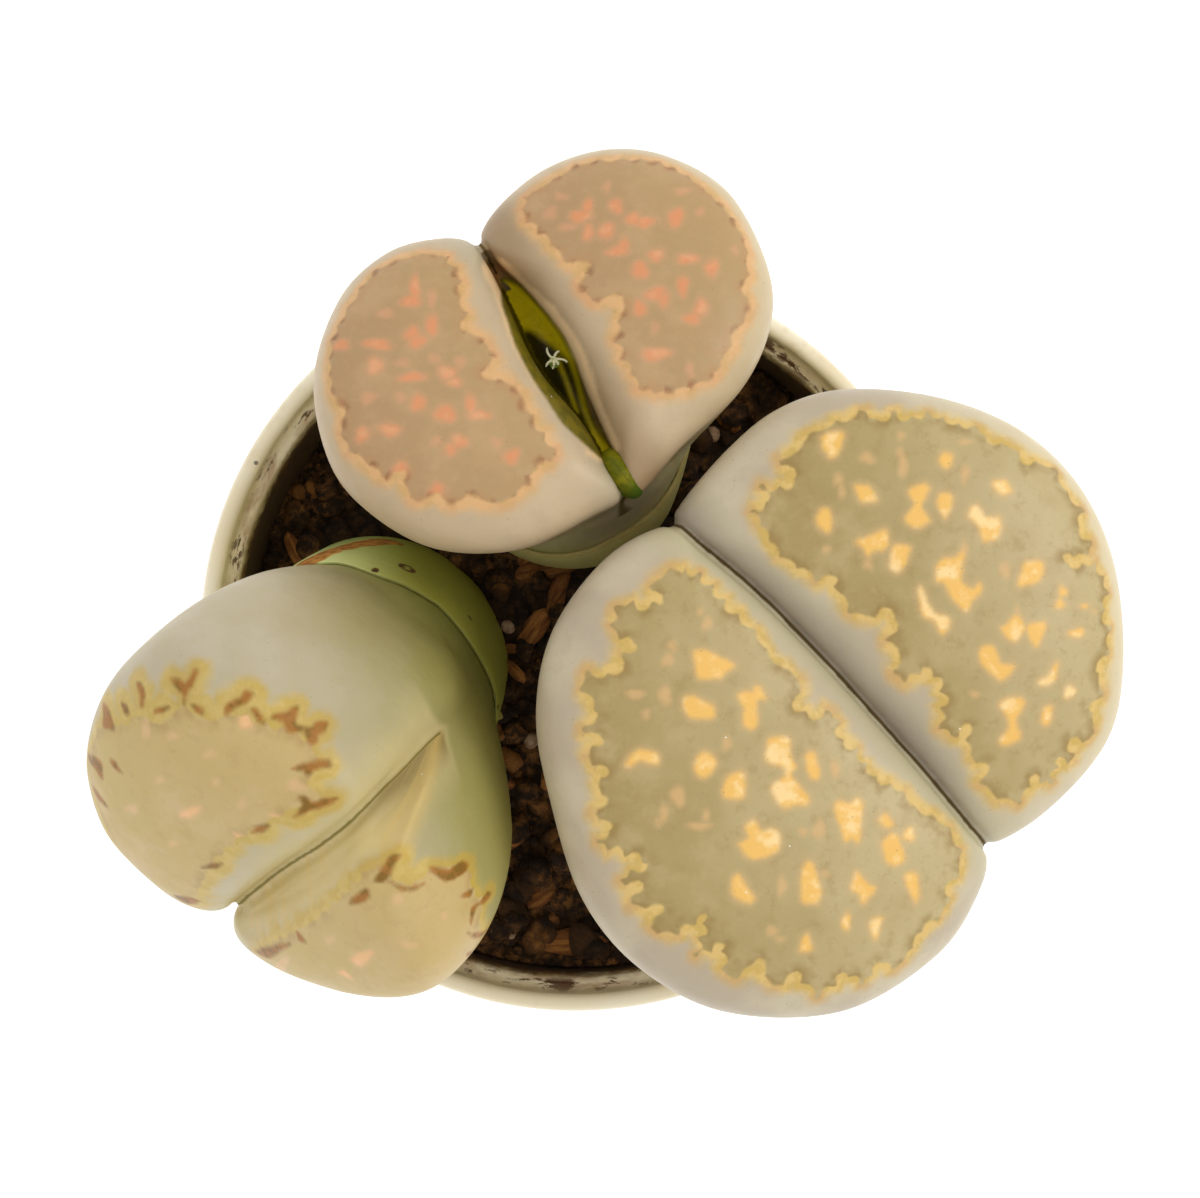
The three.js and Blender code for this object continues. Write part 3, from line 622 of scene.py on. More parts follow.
TOP_FAR_WINDOW = {
    "outline": (
        (526, 196), (523, 215), (536, 229), (548, 242), (567, 264), (590, 264), (577, 285), (591, 302),
        (605, 300), (623, 297), (618, 324), (615, 341), (625, 363), (640, 390), (659, 394), (683, 390),
        (712, 380), (722, 364), (727, 356), (737, 331), (751, 310), (744, 292), (749, 273), (746, 242),
        (727, 210), (693, 179), (659, 162), (615, 159), (579, 164), (552, 180),
    ),
    "teeth": (0.3, 1.5),
    "dots": 1.7,
    "islands": (),
    "spots": (
        (616, 206, 12, 13), (580, 216, 17, 12), (588, 206, 9, 12), (588, 233, 10, 13), (606, 231, 14, 15),
        (633, 219, 14, 10), (645, 222, 17, 9), (619, 251, 19, 9), (624, 245, 9, 11), (656, 255, 13, 12),
        (640, 270, 15, 15), (676, 217, 15, 16), (687, 259, 17, 10), (712, 268, 11, 15), (683, 286, 11, 17),
        (656, 294, 18, 13), (664, 299, 10, 12), (701, 308, 13, 14), (692, 319, 13, 10), (656, 354, 23, 12),
        (640, 309, 12, 13),
    ),
    "faint": (
        (550, 213, 13, 12), (607, 187, 9, 11), (567, 227, 16, 8), (682, 191, 17, 8), (560, 196, 12, 8),
        (655, 328, 8, 13), (690, 369, 9, 13), (650, 353, 14, 9), (700, 212, 9, 10), (735, 250, 8, 9),
    ),
}
LEFT_FAR_WINDOW = {
    "outline": (
        (98, 728), (106, 722), (124, 724), (138, 714), (160, 722), (183, 704), (206, 719), (240, 712),
        (262, 724), (288, 728), (312, 742), (318, 760), (310, 782), (326, 800), (300, 806), (274, 820),
        (240, 839), (215, 861), (203, 884), (196, 900), (176, 905), (152, 892), (128, 866), (108, 832),
        (96, 800), (88, 760),
    ),
    "teeth": (0.3, 1.5),
    "marks": (
        ((103, 703), (108, 708), (113, 722), (114, 730), (103, 726), (104, 716)),
        ((121, 702), (126, 706), (129, 714), (124, 713)),
        ((136, 683), (141, 683), (145, 693), (143, 706), (140, 706), (140, 694)),
        ((154, 713), (158, 708), (169, 707), (163, 712)),
        ((172, 679), (180, 681), (185, 684), (190, 678), (195, 669), (198, 673), (193, 684), (188, 691),
         (184, 705), (182, 694), (177, 688)),
        ((192, 705), (200, 708), (204, 714), (197, 712)),
        ((225, 714), (228, 703), (240, 699), (246, 690), (253, 694), (247, 702), (236, 707), (230, 713)),
        ((252, 709), (258, 711), (265, 723), (258, 720)),
        ((272, 717), (284, 712), (298, 706), (295, 724), (304, 727), (300, 731), (288, 731), (284, 722)),
        ((305, 728), (312, 727), (318, 722), (327, 723), (325, 731), (318, 735), (316, 742), (310, 744),
         (305, 733)),
        ((292, 769), (301, 764), (312, 763), (319, 760), (329, 760), (331, 767), (313, 770), (308, 777),
         (305, 771)),
        ((298, 797), (306, 797), (312, 803), (324, 799), (338, 798), (325, 806), (310, 810), (293, 818),
         (303, 805)),
        ((251, 834), (258, 827), (269, 825), (263, 831)),
        ((88, 755), (95, 757), (102, 764), (102, 779), (96, 770)),
        ((111, 760), (116, 763), (122, 773), (113, 767)),
        ((93, 787), (99, 793), (108, 807), (98, 799)),
        ((202, 868), (210, 864), (222, 863), (215, 868)),
        ((175, 896), (187, 897), (200, 901), (188, 904)),
    ),
    "islands": (
        ((180, 816), (184, 810), (200, 806), (198, 811), (190, 818)),
        ((240, 714), (250, 716), (251, 727), (241, 726)),
        ((270, 815), (278, 816), (288, 823), (283, 824)),
        ((235, 834), (246, 838), (252, 845), (243, 843)),
    ),
    "spots": (),
    "faint": (
        (146, 729, 7, 20), (210, 754, 12, 9), (242, 804, 8, 10), (132, 809, 12, 9), (173, 844, 9, 6),
        (160, 780, 9, 7), (216, 782, 7, 8), (296, 786, 20, 12), (172, 736, 10, 8),
    ),
}
LEFT_NEAR_WINDOW = {
    "outline": (
        (258, 950), (274, 940), (311, 921), (343, 893), (368, 868), (388, 866), (398, 880), (415, 882),
        (434, 866), (462, 864), (471, 870), (474, 890), (484, 900), (480, 922), (484, 936), (478, 952),
        (468, 972), (449, 990), (405, 1002), (355, 1006), (300, 996), (262, 970),
    ),
    "teeth": (0.3, 1.4),
    "marks": (
        ((399, 856), (390, 857), (380, 872), (375, 881), (383, 882), (390, 875), (393, 865)),
        ((390, 881), (398, 885), (410, 887), (425, 883), (416, 889), (402, 891)),
        ((350, 903), (356, 896), (366, 889), (370, 896), (362, 903)),
        ((297, 932), (301, 935), (306, 942), (299, 940)),
        ((256, 952), (263, 948), (291, 943), (280, 950), (270, 958), (262, 956)),
        ((430, 867), (440, 868), (449, 870), (455, 866), (463, 861), (469, 864), (467, 870), (448, 881),
         (434, 873)),
        ((461, 896), (467, 892), (473, 889), (470, 897)),
        ((487, 892), (491, 894), (485, 902), (477, 906), (471, 925), (471, 908), (481, 901)),
        ((467, 932), (478, 933), (488, 928), (484, 934), (474, 937)),
        ((467, 953), (476, 949), (484, 947), (478, 953), (469, 956)),
    ),
    "slope": (
        (438, 720), (434, 757), (418, 801), (405, 832), (396, 853), (368, 866), (343, 890), (311, 917),
        (274, 935), (250, 940), (236, 925), (230, 898), (261, 870), (293, 848), (324, 829), (355, 811),
        (383, 792), (402, 767), (424, 739),
    ),
    "ridge": ((438, 724), (433, 757), (418, 801), (405, 832), (398, 850)),
    "islands": (
        ((352, 960), (357, 954), (373, 951), (367, 962), (359, 966)),
        ((339, 973), (344, 970), (352, 979)),
    ),
    "spots": (),
    "faint": ((398, 899, 10, 12), (408, 945, 16, 7), (281, 966, 14, 9), (330, 940, 8, 7), (444, 915, 7, 7)),
}


# ---------------------------------------------------------------- materials


class Value:
    """A number, colour or direction inside a material, so that sums are written as in Python."""

    def __init__(self, paint, socket):
        self.paint = paint
        self.socket = socket

    def maths(self, operation, first, second):
        return self.paint.node("ShaderNodeMath", {"operation": operation}, {0: first, 1: second})

    def __add__(self, other):
        return self.maths("ADD", self, other)

    def __radd__(self, other):
        return self.maths("ADD", other, self)

    def __sub__(self, other):
        return self.maths("SUBTRACT", self, other)

    def __rsub__(self, other):
        return self.maths("SUBTRACT", other, self)

    def __mul__(self, other):
        return self.maths("MULTIPLY", self, other)

    def __rmul__(self, other):
        return self.maths("MULTIPLY", other, self)

    def __pow__(self, other):
        return self.maths("POWER", self, other)

    def most(self, other):
        return self.maths("MAXIMUM", self, other)


class Paint:
    """A material under construction round one Principled BSDF. Its spot is the place on the object,
    in millimetres."""

    def __init__(self, name, **uniform):
        self.material = bpy.data.materials.new(name)
        self.material.use_nodes = True
        self.tree = self.material.node_tree
        self.tree.nodes.clear()
        self.shader = self.tree.nodes.new("ShaderNodeBsdfPrincipled")
        output = self.tree.nodes.new("ShaderNodeOutputMaterial")
        self.tree.links.new(self.shader.outputs["BSDF"], output.inputs["Surface"])
        for key, value in uniform.items():
            self.shader.inputs[key.replace("_", " ").title().replace("Ior", "IOR")].default_value = value
        place = self.node("ShaderNodeTexCoord", output="Object")
        self.spot = self.node("ShaderNodeVectorMath", {"operation": "SCALE"}, {0: place, "Scale": 1 / MM})

    def node(self, kind, settings=None, sockets=None, output=0):
        """A node of a kind: its settings first, then the values or links of its sockets."""
        made = self.tree.nodes.new(kind)
        for key, value in (settings or {}).items():
            setattr(made, key, value)
        for key, value in (sockets or {}).items():
            if isinstance(value, Value):
                self.tree.links.new(value.socket, made.inputs[key])
            else:
                made.inputs[key].default_value = value
        return Value(self, made.outputs[output])

    def carried(self, name):
        """A number that the mesh carries for each of its points."""
        return self.node("ShaderNodeAttribute", {"attribute_name": name}, output="Fac")

    def all_carried(self, *names):
        return [self.carried(name) for name in names]

    def direction(self, x, y, z):
        return self.node("ShaderNodeCombineXYZ", sockets={0: x, 1: y, 2: z})

    def clouds(self, size, detail=2.0, rough=0.5, at=None):
        """Smooth noise round 0.5, with patches of a size in millimetres."""
        return self.node("ShaderNodeTexNoise", sockets={
            "Vector": at or self.spot, "Scale": 1 / size, "Detail": detail, "Roughness": rough,
        })

    def swing(self, size, detail=2.0, rough=0.5):
        """Smooth noise round 0."""
        return self.clouds(size, detail, rough) - 0.5

    def patches(self, low, high, size, detail=2.0, rough=0.5, at=None):
        """Noise made into soft patches: 0 where it is at low, 1 where it is at high."""
        return self.step(self.clouds(size, detail, rough, at), low, high)

    def cells(self, size, output):
        """Scattered points, with cells of a size in millimetres: the distance to them, or their colour."""
        sockets = {"Vector": self.spot, "Scale": 1 / size}
        return self.node("ShaderNodeTexVoronoi", sockets=sockets, output=output)

    def step(self, value, start, end):
        """Goes smoothly from 0 at start to 1 at end."""
        low, high, first, last = (start, end, 0.0, 1.0) if start < end else (end, start, 1.0, 0.0)
        return self.node("ShaderNodeMapRange", {"interpolation_type": "SMOOTHSTEP"}, {
            "Value": value, "From Min": low, "From Max": high, "To Min": first, "To Max": last,
        })

    def mix(self, first, second, share):
        """A blend of two colours."""
        return self.node("ShaderNodeMix", {"data_type": "RGBA"}, {0: share, 6: first, 7: second}, output=2)

    def layered(self, base, tones, **shares):
        """A colour with tones laid over it one after another, each by its share."""
        for key, share in shares.items():
            base = self.mix(base, tones[key], share)
        return base

    def speckles(self, size, radius, share):
        """Scattered dots of a radius, in a share of the cells of a size."""
        luck = self.node("ShaderNodeSeparateColor", sockets={0: self.cells(size, "Color")})
        dot = self.step(self.cells(size, "Distance"), radius / size, radius / size * 0.5)
        return dot * self.step(luck, 1 - share, 1 - share + 0.01)

    def bump(self, height, strength, reach, below=None):
        """A bump, with its height from 0 to 1 standing for a reach in millimetres."""
        sockets = {"Height": height, "Strength": strength, "Distance": reach * MM}
        if below:
            sockets["Normal"] = below
        return self.node("ShaderNodeBump", sockets=sockets, output="Normal")

    def finish(self, **sockets):
        for key, value in sockets.items():
            self.tree.links.new(value.socket, self.shader.inputs[key.replace("_", " ").title()])
        return self.material


def tone(red, green, blue):
    """A colour as a screen shows it, from 0 to 255, for a material."""
    return tuple(((c / 255 + 0.055) / 1.055) ** 2.4 if c > 10 else c / 255 / 12.92
                 for c in (red, green, blue)) + (1.0,)


DARK = (0.0, 0.0, 0.0, 1.0)
GLINT = (1.0, 0.98, 0.94, 1.0)


def leaf_body(paint, tones, wobble, cloudy):
    """The skin outside the windows, and how much of it is the painted shade line at the crease's bottom."""
    rise, east, far, cleft, lining = paint.all_carried("rise", "east", "far", "cleft", "lining")
    streaks = paint.direction(paint.carried("spoke_x"), paint.carried("spoke_y"), rise * 0.06)
    # Painted light and shade on the east side: the right and top plants' margins, and the right plant's
    # sides, are lighter there. The left plant's margins and sides are its own green, darkened by painted
    # shade between the plants. The top plant's sides are only greener there.
    eastern = paint.step(east + cloudy * 4, tones["east_from"], tones["east_to"])
    side = paint.mix(tones["side"], tones["side_streak"], paint.patches(0.45, 0.66, 0.8, 3.0, at=streaks))
    side = paint.mix(side, tones["side_east"], eastern * 0.9)
    side = paint.mix(tones["foot"], side, paint.step(rise + cloudy * 4, 3.0, 12.0))
    margin = paint.mix(tones["margin"], tones["margin_warm"], paint.patches(0.42, 0.62, 9.0))
    mottle = paint.patches(0.46, 0.7, 1.8, 4.0, 0.65) * 0.35
    margin = paint.layered(margin, tones, mottle=mottle, east=eastern)
    body = paint.mix(side, margin, paint.step(rise + cloudy * 5, tones["side_low"], tones["side_high"]))

    slope = paint.step(paint.carried("slope") + cloudy, -0.4, 1.6) * tones["slope_share"]
    shaded = paint.step(cleft + cloudy, tones["shade_from"], tones["shade_to"]) * far
    shaded = shaded * paint.step(east, tones["shade_none"], tones["shade_full"])
    shaded = shaded * paint.step(rise, 10.0, 17.0)
    ridge = paint.carried("fold")
    fold = paint.step(ridge + cloudy * 0.8, -2.0, 0.3) * tones["slope_share"] * 0.7
    beside = paint.step(cleft + cloudy * 2, 4.5, 0.5)
    body = paint.layered(body, tones, cleft=beside, slope=slope, shaded=shaded, fold=fold)
    ribs = paint.direction(ridge, rise * 0.05, east * 0.05)
    body = paint.layered(body, tones, fold=paint.patches(0.52, 0.62, 0.9, at=ribs) * slope * 0.45,
                         lip=paint.step(paint.carried("lip") + wobble, -0.3, 0.25))

    olive = paint.mix(tones["lining"], tones["lining_deep"], paint.patches(0.4, 0.62, 0.9, 3.0))
    # The hole deep in the open fissure is painted shade.
    pit = paint.mix(olive, tones["pit"], paint.carried("dark"))
    body = paint.mix(body, pit, paint.step(lining + wobble * 0.5, -0.15, 0.2))
    # A dark line along the closed fissure's bottom is painted shade.
    seam = paint.carried("across") - 0.08
    seam = seam.most(0 - seam) + paint.carried("ends") * 3 + paint.step(lining, -0.5, 0.0)
    creased = paint.step(seam, tones["crease_width"], tones["crease_width"] * 0.25) * tones["crease_share"]
    return paint.mix(body, tones["crease"], creased), creased


def window_glass(paint, tones, window, island, faint, cloudy):
    """The mottled window with its islands."""
    patchy = paint.clouds(1.5)
    fine = paint.clouds(0.6, 3.0, 0.6)
    # The window is lighter on its lit side: painted light.
    lit = paint.step(paint.carried("lit") + cloudy * 0.5, 0.12, 0.9)
    glass = paint.mix(tones["window"], tones["window_east"], lit)
    glass = paint.layered(glass, tones, window_cloud=paint.patches(0.45, 0.68, 3.6, 4.0, 0.6) * 0.75,
                          window_rim=paint.patches(0.5, 0.7, 1.2, 4.0, 0.7) * 0.36)
    glass = paint.layered(glass, tones, window_cloud=paint.step(fine, 0.52, 0.7) * 0.3,
                          window_rim=paint.step(window, 1.1, 0.0) * paint.step(patchy, 0.38, 0.62) * 0.8,
                          faint=paint.step(faint, -0.35, 0.35) * 0.65)
    glass = paint.layered(glass, tones, faint=paint.step(island, -0.6, 0.0) * 0.35)
    yellow = 0.3 - island * 0.4 + (fine - 0.5) * 1.6 + paint.swing(2.6) * 3.0
    isle = paint.mix(tones["island_pale"], tones["island"], paint.step(yellow, -0.35, 0.35))
    edge = tones["island_edge"]
    return paint.mix(glass, isle, paint.step(island, -edge, edge) * tones["island_share"])


def leaf_skin(name, tones):
    """Waxy leaf skin: a cloudy margin, a toothed line round a translucent window, and islands."""
    paint = Paint(name, subsurface_weight=0.22, subsurface_scale=0.0012, emission_strength=1.0,
                  subsurface_radius=(1.0, 0.65, 0.35), specular_ior_level=0.4)
    wobble = paint.swing(1.1, 1.5) * 0.3 + paint.swing(0.3, 1.0) * 0.16
    cloudy = paint.swing(4.5)
    window = paint.carried("window") + wobble
    island = paint.carried("island") + wobble * 0.9 + paint.swing(0.18, 1.0) * 0.12
    mark = paint.carried("mark") + wobble * 1.1
    lobed = paint.carried("lobed")
    body, creased = leaf_body(paint, tones, wobble, cloudy)

    line = paint.mix(tones["line"], tones["line_deep"], paint.patches(0.42, 0.62, 1.3, 3.0, 0.6))
    line = paint.mix(tones["line_tan"], line, paint.step(lobed + paint.swing(0.6, 3.0, 0.6) * 1.4, -0.7, 0.1))
    width = (paint.swing(1.5) * 1.8 + 1 + lobed * 0.45).most(0.5) * tones["line_width"]
    edge = window.most(mark + tones["halo"] - tones["line_width"] * 0.6)
    skin = paint.mix(body, line, (paint.step(edge + width, -1.0, 0.2) ** 1.5) * tones["line_share"])
    glass = window_glass(paint, tones, window, island, paint.carried("faint") + wobble, cloudy)
    skin = paint.mix(skin, glass, paint.step(window, -0.16, 0.18))
    brown = paint.mix(tones["mark"], tones["mark_deep"], paint.patches(0.42, 0.6, 0.9))
    skin = paint.mix(skin, brown, paint.step(mark, -0.3, 0.2) * tones["mark_share"])
    skin = paint.mix(skin, tones["pore"], paint.speckles(0.75, 0.09, 0.3) * 0.4)
    # Tiny white dots are painted highlights, and those spots are glossier too.
    glints = paint.speckles(1.5, 0.075, 0.1)
    skin = paint.mix(skin, GLINT, glints * paint.step(paint.carried("rise"), 12.0, 18.0) * 0.9)
    # The open fissure's lining gives off a glow: painted light.
    lining, glowing, dark = paint.all_carried("lining", "glowing", "dark")
    glow = paint.mix(DARK, tones["glow"], paint.step(lining, 0.0, 0.5) * glowing * (1 - dark))

    relief = paint.bump(paint.step(window, -0.5, 0.3), 0.22, -0.1)
    relief = paint.bump(paint.step(island, -0.3, 0.3), 0.12, 0.05, relief)
    relief = paint.bump(paint.clouds(0.32), 0.3, 0.05, relief)
    relief = paint.bump(paint.clouds(2.6), 0.35, 0.3, relief)
    roughness = 0.42 + paint.swing(2.0) * 0.25 - glints * 0.2 + creased * 0.5
    return paint.finish(base_color=skin, roughness=roughness, emission_color=glow, normal=relief)


def pot_plastic():
    """Cream plastic, darker low down as painted shade, with soil stains inside and dirt on the ledge inside
    its lip.
    """
    paint = Paint("pot_plastic", specular_ior_level=0.5, subsurface_weight=0.08,
                  subsurface_scale=0.001, subsurface_radius=(1.0, 0.8, 0.5))
    inside, depth, groove = paint.all_carried("inside", "depth", "groove")
    cream = paint.mix(tone(240, 226, 192), tone(248, 238, 212), paint.patches(0.4, 0.62, 14.0))
    cream = paint.mix(cream, tone(220, 202, 162), paint.patches(0.5, 0.75, 2.5, 4.0, 0.65) * 0.6)
    # Darker lower down the pot: painted shade.
    cream = paint.mix(cream, tone(206, 190, 156), paint.step(paint.carried("low"), 0.0, 1.0))
    stain = paint.step(depth + paint.swing(2.6, 4.0, 0.65) * 5, -0.6, 1.6) * inside
    stain = stain.most(paint.patches(0.62, 0.7, 1.1, 4.0, 0.7) * inside * 0.7)
    # The stain is darker further down the inner wall.
    wet = paint.step(depth + paint.swing(1.6, 4.0, 0.7) * 4, 0.4, 2.2)
    cream = paint.mix(cream, paint.mix(tone(140, 104, 62), tone(70, 46, 24), wet), stain)
    band = paint.direction(*paint.all_carried("band_x", "band_y", "band_r"))
    dirty = paint.patches(0.44, 0.62, 2.4, 4.0, 0.7, band) * groove
    cream = paint.mix(cream, tone(176, 136, 88), dirty * 0.8)
    dashes = paint.patches(0.52, 0.58, 1.0, 4.0, 0.65, band) * groove
    cream = paint.mix(cream, tone(80, 44, 12), dashes)
    cream = paint.mix(cream, tone(60, 44, 32), paint.speckles(2.6, 0.22, 0.16) * 0.8)
    relief = paint.bump(paint.clouds(0.5), 0.15, 0.05)
    relief = paint.bump(stain * paint.clouds(0.5, 3.0, 0.7), 0.6, 0.3, relief)
    roughness = 0.36 + stain * 0.5 + dashes * 0.6 + paint.swing(3.0, 3.0) * 0.2
    return paint.finish(base_color=cream, roughness=roughness, normal=relief)


def potting_mix():
    """Very dark crumbs, orange-brown bark and pale grit, told apart by what the mesh carries."""
    paint = Paint("potting_mix", specular_ior_level=0.25)
    kind, luck, grain_x, grain_y = paint.all_carried("kind", "luck", "grain_x", "grain_y")
    crumb = paint.mix(tone(54, 38, 26), tone(146, 100, 54), paint.patches(0.42, 0.68, 0.9, 5.0, 0.7))
    crumb = paint.mix(crumb, tone(168, 112, 54), paint.step(luck, 0.62, 0.95) * 0.75)
    crumb = paint.mix(crumb, tone(34, 25, 19), paint.patches(0.58, 0.42, 5.0, 3.0, 0.6) * 0.8)
    fibres = paint.direction(grain_x, grain_y, luck * 9)
    bark = paint.mix(tone(128, 78, 34), tone(190, 128, 64), paint.patches(0.4, 0.66, 0.35, 4.0, 0.6, fibres))
    bark = paint.mix(bark, tone(92, 54, 26), paint.step(luck, 0.5, 0.0) * 0.55)
    grit = paint.mix(tone(160, 126, 96), tone(200, 166, 134), paint.patches(0.4, 0.65, 0.7, 3.0))
    grit = paint.mix(grit, tone(176, 158, 84), paint.step(luck, 0.8, 0.9))
    barky = paint.step(kind, 0.4, 0.6)
    mixed = paint.mix(paint.mix(crumb, bark, barky), grit, paint.step(kind, 1.4, 1.6))
    relief = paint.bump(paint.clouds(0.35, 5.0, 0.75), 0.9, 0.35)
    return paint.finish(base_color=mixed, roughness=0.95 - barky * 0.25, normal=relief)


def old_skin(name, tones):
    """Last year's skin: green below, paler at its torn edge, with veins, wrinkles and a dried band."""
    paint = Paint(name, emission_strength=1.0, subsurface_weight=0.3, subsurface_scale=0.0008,
                  subsurface_radius=(1.0, 0.8, 0.3), specular_ior_level=0.35)
    below, east = paint.all_carried("below_edge", "east")
    spoke_x, spoke_y, rise = paint.all_carried("spoke_x", "spoke_y", "rise")
    veins = paint.clouds(0.5, 3.0, at=paint.direction(spoke_x, spoke_y, rise * 0.1))
    wrinkles = paint.clouds(0.5, 3.0, at=paint.direction(below, east * 0.07, spoke_x * 0.1))
    # Towards the east the skin takes its east tone. On the green sheath this is a darker green, partly its
    # own colour and partly painted shade between the plants.
    eastern = paint.step(east, -19.0, -9.0)
    dry = paint.step(below + paint.swing(1.2, 3.0, 0.6) * 0.8, tones["dry_width"], 0.1)
    dry = dry * paint.carried("dryness")
    dry = dry.most(paint.step(paint.carried("band") + paint.swing(1.0, 3.0) * 0.9, -0.2, 0.15))
    dried = paint.mix(tones["dry"], tones["dry_dark"], paint.patches(0.42, 0.64, 0.8, 4.0, 0.65))
    marked = paint.step(paint.carried("mark") + paint.swing(0.5) * 0.2, -0.08, 0.08)
    skin = paint.mix(tones["foot"], tones["top"], paint.step(below + paint.swing(3.0) * 3, 7.0, 1.0))
    skin = paint.layered(skin, tones, vein=paint.step(veins, 0.5, 0.72) * 0.55)
    skin = paint.layered(skin, tones, vein=paint.step(wrinkles, 0.48, 0.66) * 0.6, east=eastern * 0.9)
    skin = paint.mix(skin, dried, dry)
    skin = paint.layered(skin, tones, edge=paint.step(below, 0.14, 0.0) * 0.75, mark=marked)
    skin = paint.layered(skin, tones, mark=paint.speckles(1.4, 0.13, 0.13) * 0.6)
    relief = paint.bump(wrinkles, 0.4, 0.12, paint.bump(veins, 0.35, 0.12))
    relief = paint.bump(paint.clouds(0.4, 3.0), 0.25, 0.06, relief)
    relief = paint.bump(dry * paint.clouds(0.5, 3.0, 0.7), 0.8, 0.2, relief)
    # The live skin gives off a faint glow, painted light, except where dried, marked or to the east.
    glow = paint.mix(tones["glow"], DARK, dry.most(marked).most(eastern))
    return paint.finish(base_color=skin, roughness=0.5 + dry * 0.3, emission_color=glow, normal=relief)


def young_skin():
    """Moist young leaf: bright green, darker at its tip, with painted shade along its slit."""
    paint = Paint("young_leaf_skin", roughness=0.5, subsurface_weight=0.15, subsurface_scale=0.0005,
                  subsurface_radius=(0.9, 1.0, 0.2), specular_ior_level=0.15)
    green = paint.mix(tone(92, 94, 4), tone(124, 118, 8), paint.patches(0.38, 0.65, 0.7, 3.0))
    green = paint.mix(green, tone(62, 84, 14), paint.carried("tip"))
    # Painted shade along the slit.
    green = paint.mix(green, tone(76, 76, 16), paint.carried("slit") * 0.4)
    green = paint.mix(green, tone(50, 60, 24), paint.speckles(0.5, 0.06, 0.3) * 0.7)
    return paint.finish(base_color=green, normal=paint.bump(paint.clouds(0.25), 0.3, 0.05))


def flower_paper():
    """Papery dried petals, pale with a greenish stalk."""
    paint = Paint("dried_flower", roughness=0.6, subsurface_weight=0.2, subsurface_scale=0.0003,
                  emission_strength=1.0, subsurface_radius=(1.0, 0.9, 0.6))
    petal = paint.carried("petal")
    paper = paint.mix(tone(244, 238, 206), tone(226, 220, 176), paint.patches(0.4, 0.66, 0.3, 3.0))
    paper = paint.mix(tone(140, 160, 40), paper, petal)
    # The petals and the stalk give off a faint glow: painted light.
    glow = paint.mix((0.05, 0.07, 0.01, 1.0), (0.16, 0.15, 0.09, 1.0), petal)
    relief = paint.bump(paint.clouds(0.12, 3.0), 0.5, 0.04)
    return paint.finish(base_color=paper, emission_color=glow, normal=relief)


def palette(**values):
    """A material's tones by name. Three numbers are a colour as a screen shows it, four a glow that is
    painted light, and one a share or a place in millimetres."""
    return {key: tone(*value) if isinstance(value, tuple) and len(value) == 3 else value
            for key, value in values.items()}


# Colours under the photograph's soft white light. All leaves share the tones that only some of them show: an
# open fissure's, a facing slope's and those of brown marks. Of the open fissure's tones, the glow is painted
# light and the pit's dark tone is painted shade.
LEAF_TONES = palette(
    lip=(228, 196, 150), lining=(160, 142, 20), lining_deep=(124, 116, 16), pit=(62, 54, 14),
    glow=(0.13, 0.098, 0.001, 1.0), slope=(206, 184, 122), fold=(214, 182, 110), slope_share=0.0,
    mark=(150, 96, 58), mark_deep=(128, 82, 44), mark_share=0.0,
)
RIGHT_TONES = LEAF_TONES | palette(
    margin=(186, 171, 146), margin_warm=(200, 187, 158), mottle=(176, 162, 140), cleft=(190, 180, 144),
    # east and side east: lighter on the east side, painted light
    east=(210, 194, 154), east_from=24.0, east_to=40.0,
    side=(182, 168, 136), side_streak=(172, 158, 122), side_east=(190, 176, 138), foot=(150, 154, 84),
    side_low=10.0, side_high=20.0,
    shaded=(152, 139, 124), shade_from=3.8, shade_to=0.2, shade_none=27.0, shade_full=22.0,
    crease=(74, 54, 0), crease_share=0.95, crease_width=0.24,
    line=(220, 187, 112), line_deep=(204, 171, 88), line_tan=(203, 165, 104),
    line_width=0.5, line_share=0.95, halo=0.3,
    window=(168, 146, 92), window_east=(193, 175, 128), window_cloud=(186, 164, 116),
    window_rim=(152, 124, 66), faint=(222, 180, 122), pore=(140, 128, 100),
    island=(238, 190, 100), island_pale=(248, 214, 150), island_edge=0.26, island_share=1.0,
)
TOP_TONES = LEAF_TONES | palette(
    margin=(194, 172, 138), margin_warm=(202, 180, 146), mottle=(182, 162, 132), cleft=(182, 168, 138),
    # east: lighter on the east side, painted light; side east: greener sides there
    east=(208, 190, 148), east_from=8.0, east_to=30.0,
    side=(216, 206, 156), side_streak=(200, 190, 128), side_east=(196, 190, 128), foot=(200, 198, 96),
    side_low=12.0, side_high=23.0,
    shaded=(164, 138, 104), shade_from=6.0, shade_to=2.0, shade_none=13.0, shade_full=9.0,
    crease=(96, 72, 6), crease_share=0.9, crease_width=0.22,
    line=(222, 174, 116), line_deep=(208, 164, 100), line_tan=(212, 160, 108),
    line_width=0.48, line_share=0.85, halo=0.2,
    window=(178, 144, 102), window_east=(182, 152, 104), window_cloud=(192, 158, 114),
    window_rim=(184, 142, 96), faint=(214, 158, 118), pore=(150, 126, 94),
    island=(222, 148, 100), island_pale=(226, 164, 118), island_edge=0.3, island_share=0.85,
    mark_share=0.65,
)
